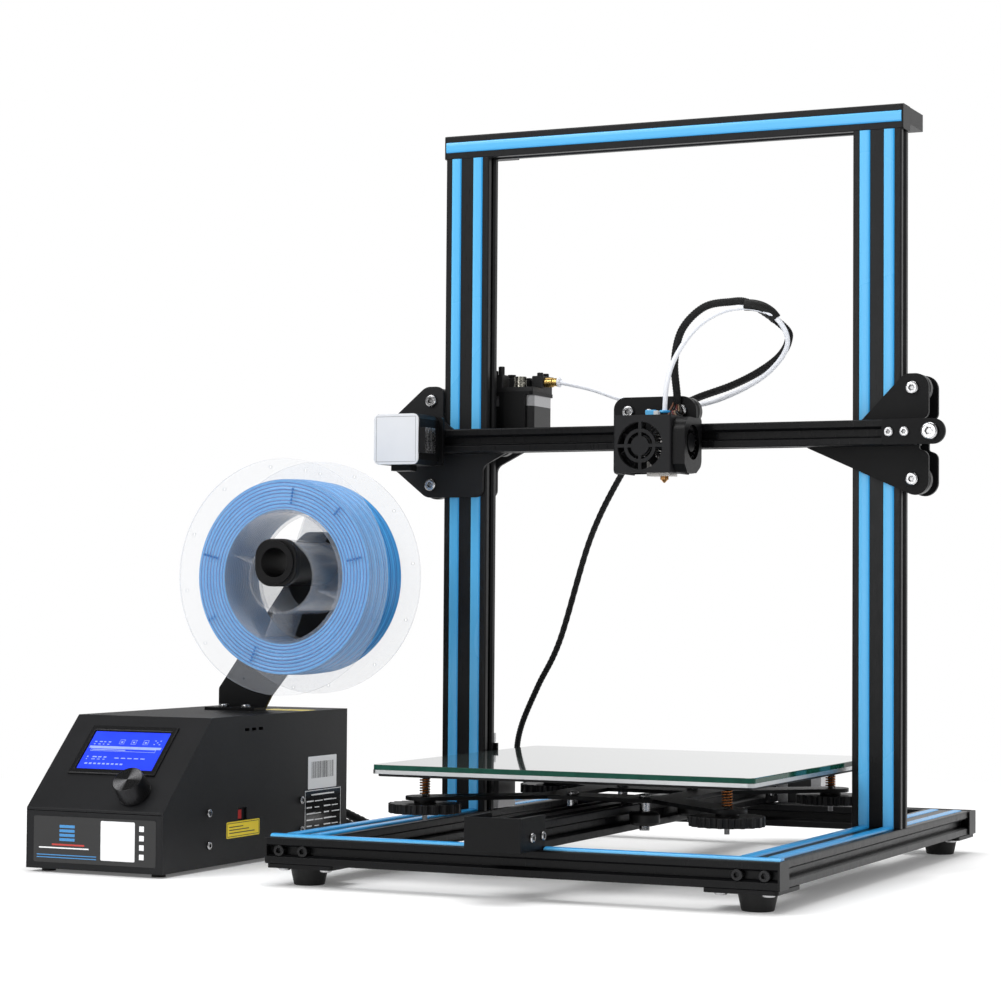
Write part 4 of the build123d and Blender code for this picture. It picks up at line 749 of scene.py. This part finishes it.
# Thin leads from the loom into the head, and its plug housings.
LEADS = ((0.16, 0.06, 0.03), (0.01, 0.01, 0.01), (0.12, 0.015, 0.012), (0.2, 0.13, 0.08), (0.01, 0.01, 0.01))
for index, tint in enumerate(LEADS):
    lead_mat = coated("lead_%d" % index, tint, 0.35, 0.0, 900, 0.05, 0.1)
    dx = 2.1 * index
    lead_path = [(21.5 + 0.9 * index, 5, 377), (20 + dx, 1, 371 - index), (19.5 + dx, -4 - index, 367.5),
                 (22 + dx, -9, 365.5 - 0.8 * index), (20 + dx, -14, 361)]
    cable("head_lead_%d" % index, lead_path, 0.75, lead_mat, "print_head", 8, 8)
plate("head_plug_a", (2.5, -12, 364.6), X, Y, (9.0, 4.5), 4.2, M["blue_plastic"], "print_head", 0.6)
plate("head_plug_b", (11.2, -16, 364.4), X, Y, (4.0, 5.0), 3.4, M["plug_white"], "print_head", 0.6)

# Cables from the control box to the printer, lying behind the left rail.
BOX_CABLE_A = [
    (-300, 37, 22), (-300, 44, 22), (-290, 60, 14), (-262, 66, 4), (-236, 64, 3.6), (-216, 74, 6),
    (-206, 92, 9), (-190, 112, 12),
]
BOX_CABLE_B = [
    (-312, 37, 34), (-312, 46, 34), (-296, 66, 22), (-262, 76, 6), (-238, 76, 4.4), (-219, 86, 7),
    (-206, 102, 9), (-188, 126, 12),
]
cable("box_cable_a", BOX_CABLE_A, 3.2, M["black_rubber"], "frame", 10, 12)
cable("box_cable_b", BOX_CABLE_B, 3.8, M["braid"], "frame", 14, 12, ribs)


# ---------------------------------------------------------------- turned pieces
def lathe(name, centre, profile, mat, body, segments=144, axis=Y):
    """Closed ring turned about an axis: profile is (radius, position along the axis) in mm."""
    bm = bmesh.new()
    u = X if axis is Z else Z
    v = axis.cross(u)
    rings = []
    for k in range(segments):
        a = 2 * math.pi * k / segments
        out = u * math.cos(a) + v * math.sin(a)
        rings.append([bm.verts.new(at(*(Vector(centre) + out * r + axis * h))) for r, h in profile])
    n = len(profile)
    for a, b in zip(rings, rings[1:] + rings[:1]):
        for k in range(n):
            bm.faces.new((a[k], a[(k + 1) % n], b[(k + 1) % n], b[k]))
    obj = mesh_object(name, bm, mat)
    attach(obj, body)
    return obj


def scallops(count, depth):
    """Steps along a run of strands, as (place from 0 to 1, dip between strands)."""
    steps = 4
    for i in range(count * steps):
        yield i / (count * steps), depth * (1 - abs(math.sin(math.pi * (i % steps) / steps)))


def winding_profile():
    """Section of the wound filament: strands show as scallops on the rim and on both sides."""
    pitch = 2.2
    inner, outer = 55.45, 80.2
    low, high = SPOOL_Y0 + 2.43, SPOOL_Y1 - 2.43
    strands = int((outer - inner) / pitch)
    across = int((high - low) / pitch)
    points = [(inner + (outer - inner) * t, low + dip) for t, dip in scallops(strands, 0.36)]
    for t, dip in scallops(across, 0.5):
        swell = 0.9 * math.sin(math.pi * t)
        points.append((outer - 0.1 - dip + swell, low + (high - low) * t))
    points += [(outer - (outer - inner) * t, high - dip) for t, dip in scallops(strands, 0.36)]
    return points


winding = lathe("filament_winding", (SPOOL_AT[0], 0, SPOOL_AT[1]), winding_profile(), M["filament_blue"],
                "spool", 160)

# Blue collar of the tube fitting on the hot end, white collar on the extruder's fitting.
HOTEND_COLLAR = [(2.15, 0), (4.6, 0), (4.6, 1.6), (4.2, 2.2), (2.15, 2.2)]
collar = lathe("hotend_collar", (17.5, -7, 366.2), HOTEND_COLLAR, M["blue_plastic"], "print_head", 32, Z)
EXTRUDER_COLLAR = [(2.15, 0), (4.0, 0), (4.4, 0.6), (4.4, 2.0), (3.4, 2.6), (2.15, 2.6)]
cap = lathe("extruder_collar", (-120.9, 94.4, 403), EXTRUDER_COLLAR, M["clear_tube"], "x_gantry", 32, X)

# Glands where the cables leave the box's back.
BOX_BACK = 38.6
for index, (x, z, r) in enumerate(((-300, 22, 4.4), (-312, 34, 5.0))):
    gland_profile = [(r - 1.2, 0), (r + 1.6, 0), (r + 1.6, 1.8), (r, 4.4), (r - 1.2, 4.4)]
    gland = lathe("box_gland_%d" % index, (x, BOX_BACK, z), gland_profile, M["black_rubber"], "frame", 28)


# ---------------------------------------------------------------- printed marks
def flat_marks(name, origin, u, v, boxes, mat, body):
    """Plain rectangles (x, y, width, height) printed on a surface."""
    bm = bmesh.new()
    for x, y, w, h in boxes:
        verts = []
        for dx, dy in ((0, 0), (w, 0), (w, h), (0, h)):
            verts.append(bm.verts.new(at(*origin) + (u * (x + dx) + v * (y + dy)) / 1000))
        bm.faces.new(verts)
    obj = mesh_object(name, bm, mat, smooth=False)
    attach(obj, body)


def outline(x, y, w, h, t):
    """Four boxes of thickness t round a rectangle."""
    return [(x, y, w, t), (x, y + h - t, w, t), (x, y + t, t, h - 2 * t), (x + w - t, y + t, t, h - 2 * t)]


def uneven_bars(width, height):
    """Row of plain bars of uneven width."""
    rng = random.Random(11)
    bars = []
    x = 0.0
    while x < width:
        w = rng.choice((0.35, 0.6, 0.9))
        bars.append((x, 0, w, height))
        x += w + rng.choice((0.4, 0.7, 1.0))
    return bars


def screen_marks():
    """Plain bars, frames and squares such as any status page shows."""
    marks = [(1.6, 21.6, 66.4, 2.4)]
    for i, w in enumerate((2, 3, 2, 2.5)):
        marks += [(4 + 4.2 * i, 28, w, 1.0), (4 + 4.2 * i, 25.5, w * 0.7, 0.9)]
    for i in range(3):
        marks += outline(27 + 11 * i, 26.5, 4.6, 4.8, 0.35)
        marks.append((28.4 + 11 * i, 27.9, 1.8, 1.6))
    for r in range(3):
        marks += [(59 + 2.4 * c, 26.8 + 1.9 * r, 1.3, 0.9) for c in range(3) if (r + c) % 2 == 0]
    marks += outline(4, 18.6, 60, 3.0, 0.35)
    marks.append((5.2, 19.7, 31, 0.8))
    for i, w in enumerate((1.4, 4.0, 3.2, 2.6)):
        marks += [(4 + 5.2 * i, 11.8, w, 1.2), (4 + 5.2 * i, 9.6, w * 0.8, 0.8)]
    marks += [(30 + 6.0 * i, 11.2, 4.0, 1.0) for i in range(5)]
    marks += [(5 + 4.1 * i, 4.6, 2.6, 1.5) for i in range(9)]
    return marks


# Lit screen in its module, on the sloping panel.
SCREEN_W, SCREEN_H = 69.6, 39.6
SCREEN_LEFT, SCREEN_LOW = -358.2 - SCREEN_W / 2, 61.7 - SCREEN_H / 2
plate("screen_panel", on_slope(SCREEN_LEFT, SCREEN_LOW, 0.42), X, UP_SLOPE, (SCREEN_W, SCREEN_H), 0.3,
      M["screen"], "frame", 0.6)
flat_marks("screen_marks", on_slope(SCREEN_LEFT, SCREEN_LOW, 0.76), X, UP_SLOPE, screen_marks(), M["marks"],
           "frame")

# Labels on the box's side and top: film first, then the marks that lie just over it.
FILM = 0.15
OVER_FILM = FILM + 0.02
plate("side_label_yellow", (SIDE_X, -163, 23), Y, Z, (52, 13), FILM, M["label_yellow"], "frame")
plate("side_label_white", (SIDE_X, -30, 54), Y, Z, (50, 27.5), FILM, M["label_white"], "frame")
plate("side_label_dark", (SIDE_X, -36, 18), Y, Z, (65, 36), FILM, M["label_gloss"], "frame")
plate("box_top_label", (-341, -29, 120.0), X, Y, (42, 22), FILM, M["label_yellow"], "frame")
flat_marks("side_label_bars", (SIDE_X + OVER_FILM, -24, 63), Y, Z, uneven_bars(38, 14), M["label_ink"],
           "frame")
table = outline(1, 1, 63, 34, 0.6)
table += [(4 + 30 * c, 4.5 + 5.2 * r, 9 + 3 * ((r + c) % 3), 1.1) for r in range(5) for c in range(2)]
table += [(18 + 30 * c, 4.5 + 5.2 * r, 8 + 3 * ((r * 2 + c) % 3), 0.8) for r in range(5) for c in range(2)]
table.append((12, 30.5, 40, 1.2))
flat_marks("side_label_table", (SIDE_X + OVER_FILM, -36, 18), Y, Z, table, M["label_white"], "frame")
note = outline(1, 1, 50, 11, 0.5) + [(4, 3.6 + 2.4 * r, 40 - 9 * r, 0.8) for r in range(3)]
flat_marks("side_label_yellow_rule", (SIDE_X + OVER_FILM, -163, 23), Y, Z, note, M["label_ink"], "frame")

# Voltage switch on the box's side.
plate("voltage_switch", (SIDE_X - 3.5, -145.2, 36.3), Y, Z, (13.4, 9.9), 2.2, M["black_plastic"],
      "frame", 0.6)
plate("voltage_slider", (SIDE_X - 1.6, -144.2, 37.6), Y, Z, (5.6, 7.2), 0.9, M["switch_red"],
      "frame", 0.4)

# Front label: dark film with a pale block, and plain rules and squares over it.
FRONT_LABEL = (-412, FRONT_Y - 0.22, 8)
plate("front_label", (-412, FRONT_Y, 8), X, Z, (112, 36), 0.2, M["label_gloss"], "frame", 1.5)
plate("front_panel_light", (-350, FRONT_Y - 0.2, 11.5), X, Z, (31, 30.5), FILM, M["label_white"], "frame")
rules = [(3, 3.6, 55, 0.7), (3, 5.6, 55, 0.7)] + [(24, 17 + 3.4 * r, 14, 2.2) for r in range(4)]
flat_marks("front_label_rules", FRONT_LABEL, X, Z, rules, M["front_blue"], "frame")
flat_marks("front_label_red", FRONT_LABEL, X, Z, [(17, 13.4, 30, 1.3)], M["mark_red"], "frame")
squares = [(97, 5.5 + 7.2 * r, 4.2, 4.2) for r in range(4)] + [(5, 11, 46, 1.0)]
flat_marks("front_label_squares", FRONT_LABEL, X, Z, squares, M["label_white"], "frame")

# Belt motor's rear cover, a plain pale badge plate with a thin rule.
plate("motor_badge", (-235.2, -27.05, 327.3), X, Z, (41.4, 42.4), 1.2, M["badge"], "x_gantry", 5.0)
flat_marks("motor_badge_rule", (-235.2, -28.3, 327.3), X, Z, outline(2.2, 2.2, 37.0, 38.0, 0.35),
           M["badge_grey"], "x_gantry")

# Dashes on the spool's front disc, as (angle in degrees, first radius, count).
REEL_MARKS = ((12, 62, 5), (82, 60, 5), (166, 62, 5), (248, 62, 5), (46, 70, 3), (208, 70, 3))
REEL_FACE = (SPOOL_AT[0], SPOOL_Y0 - 0.06, SPOOL_AT[1])
for index, (angle, start, count) in enumerate(REEL_MARKS):
    dashes = [(start + 2.9 * i, -0.9, 1.9, 1.8) for i in range(count)]
    flat_marks("reel_mark_%d" % index, REEL_FACE, turned(angle), turned(angle + 90), dashes, M["reel_print"],
               "spool")


# ---------------------------------------------------------------- stage
# Strength of the white studio: for diffuse light, for reflections in front, and as the camera sees it.
DIFFUSE_LEVEL, GLOSSY_LEVEL, SEEN_LEVEL = 0.68, 0.14, 1.0

# Distances in metres between which the floor fades to white for the camera.
FADE_START, FADE_END = 0.62, 1.15
FLOOR_HALF = 30.0

# Lights: name, place, target, width, height (metres) and power (watts).
LIGHTS = (
    ("key", (-1.4, -2.2, 2.2), (0, 0, 0.25), 1.4, 1.4, 40),
    ("fill", (2.2, -1.2, 1.4), (0, 0, 0.3), 1.2, 1.6, 5),
    ("strip", (-0.45, -2.7, 0.45), (0, 0, 0.35), 0.22, 1.7, 7),
    ("top", (0.1, 0.2, 2.6), (0, 0, 0), 2.2, 1.6, 40),
)

# Camera: place in millimetres, directions in degrees, lens on a 36 mm sensor.
CAMERA_AT = (790.88, -1992.27, 215.43)
CAMERA_YAW, CAMERA_PITCH, CAMERA_ROLL = 24.83, 2.14, 0.41
CAMERA_LENS = 95.113


def floor():
    """Wide pale floor."""
    g = Graph("floor_pale")
    g.plug(g.mix(g.noise(1.2, 2.0), (0.86, 0.86, 0.86), (0.9, 0.9, 0.9)), "Base Color")
    g.set(Roughness=0.6, Specular_IOR_Level=0.1, Emission_Color=(1, 1, 1, 1), Emission_Strength=0.12)
    # Away from the printer the floor fades into the white of the studio, for the camera only.
    reach = g.nodes.new("ShaderNodeVectorMath")
    reach.operation = "LENGTH"
    g.links.new(g.coord, reach.inputs[0])
    fade = g.remap(reach.outputs["Value"], 0.0, 1.0, FADE_START, FADE_END)
    seen = g.nodes.new("ShaderNodeLightPath").outputs["Is Camera Ray"]
    white = g.nodes.new("ShaderNodeEmission")
    blend = g.nodes.new("ShaderNodeMixShader")
    g.links.new(g.math("MULTIPLY", fade, seen), blend.inputs["Fac"])
    g.links.new(g.bsdf.outputs[0], blend.inputs[1])
    g.links.new(white.outputs[0], blend.inputs[2])
    g.links.new(blend.outputs[0], g.nodes["Material Output"].inputs["Surface"])

    bm = bmesh.new()
    for x, y in ((-1, -1), (1, -1), (1, 1), (-1, 1)):
        bm.verts.new((x * FLOOR_HALF, y * FLOOR_HALF, 0))
    bm.faces.new(bm.verts)
    mesh_object("floor", bm, g.mat, smooth=False)


def studio():
    """White seen directly; dim in reflections from the front, so that black parts stay black."""
    world = bpy.data.worlds.new("studio")
    bpy.context.scene.world = world
    world.use_nodes = True
    nodes = world.node_tree.nodes
    link = world.node_tree.links.new
    back = nodes["Background"]
    back.inputs["Color"].default_value = (1.0, 1.0, 1.0, 1.0)
    paths = nodes.new("ShaderNodeLightPath")
    way = nodes.new("ShaderNodeSeparateXYZ")
    link(nodes.new("ShaderNodeTexCoord").outputs["Generated"], way.inputs[0])
    behind = nodes.new("ShaderNodeMapRange")
    behind.inputs["From Min"].default_value = 0.6
    behind.inputs["From Max"].default_value = 0.95
    behind.inputs["To Min"].default_value = GLOSSY_LEVEL
    link(way.outputs["Y"], behind.inputs["Value"])
    glossy = nodes.new("ShaderNodeMix")
    glossy.inputs["A"].default_value = DIFFUSE_LEVEL
    link(behind.outputs["Result"], glossy.inputs["B"])
    link(paths.outputs["Is Glossy Ray"], glossy.inputs["Factor"])
    seen = nodes.new("ShaderNodeMix")
    seen.inputs["B"].default_value = SEEN_LEVEL
    link(glossy.outputs["Result"], seen.inputs["A"])
    link(paths.outputs["Is Camera Ray"], seen.inputs["Factor"])
    link(seen.outputs["Result"], back.inputs["Strength"])


def area(name, place, target, w, h, power):
    """Soft rectangular light aimed at a point."""
    light = bpy.data.lights.new(name, "AREA")
    light.shape = "RECTANGLE"
    light.size = w
    light.size_y = h
    light.energy = power
    obj = bpy.data.objects.new(name, light)
    bpy.context.scene.collection.objects.link(obj)
    obj.location = place
    obj.rotation_euler = (Vector(target) - Vector(place)).to_track_quat("-Z", "Y").to_euler()


def camera():
    """Camera where the photograph was taken from."""
    yaw, pitch, roll = (math.radians(angle) for angle in (CAMERA_YAW, CAMERA_PITCH, CAMERA_ROLL))
    level = Vector((-math.sin(yaw), math.cos(yaw), 0))
    forward = level * math.cos(pitch) + Z * math.sin(pitch)
    right = Vector((math.cos(yaw), math.sin(yaw), 0))
    up = right.cross(forward)
    rolled_right = right * math.cos(roll) + up * math.sin(roll)
    rolled_up = up * math.cos(roll) - right * math.sin(roll)
    data = bpy.data.cameras.new("camera")
    data.sensor_width = 36.0
    data.lens = CAMERA_LENS
    data.clip_end = 100
    cam = bpy.data.objects.new("camera", data)
    bpy.context.scene.collection.objects.link(cam)
    rotation = Matrix((rolled_right, rolled_up, -forward)).transposed().to_4x4()
    cam.matrix_world = Matrix.Translation(at(*CAMERA_AT)) @ rotation
    bpy.context.scene.camera = cam


floor()
studio()
for light_row in LIGHTS:
    area(*light_row)
camera()
bpy.context.scene.view_settings.view_transform = "Standard"
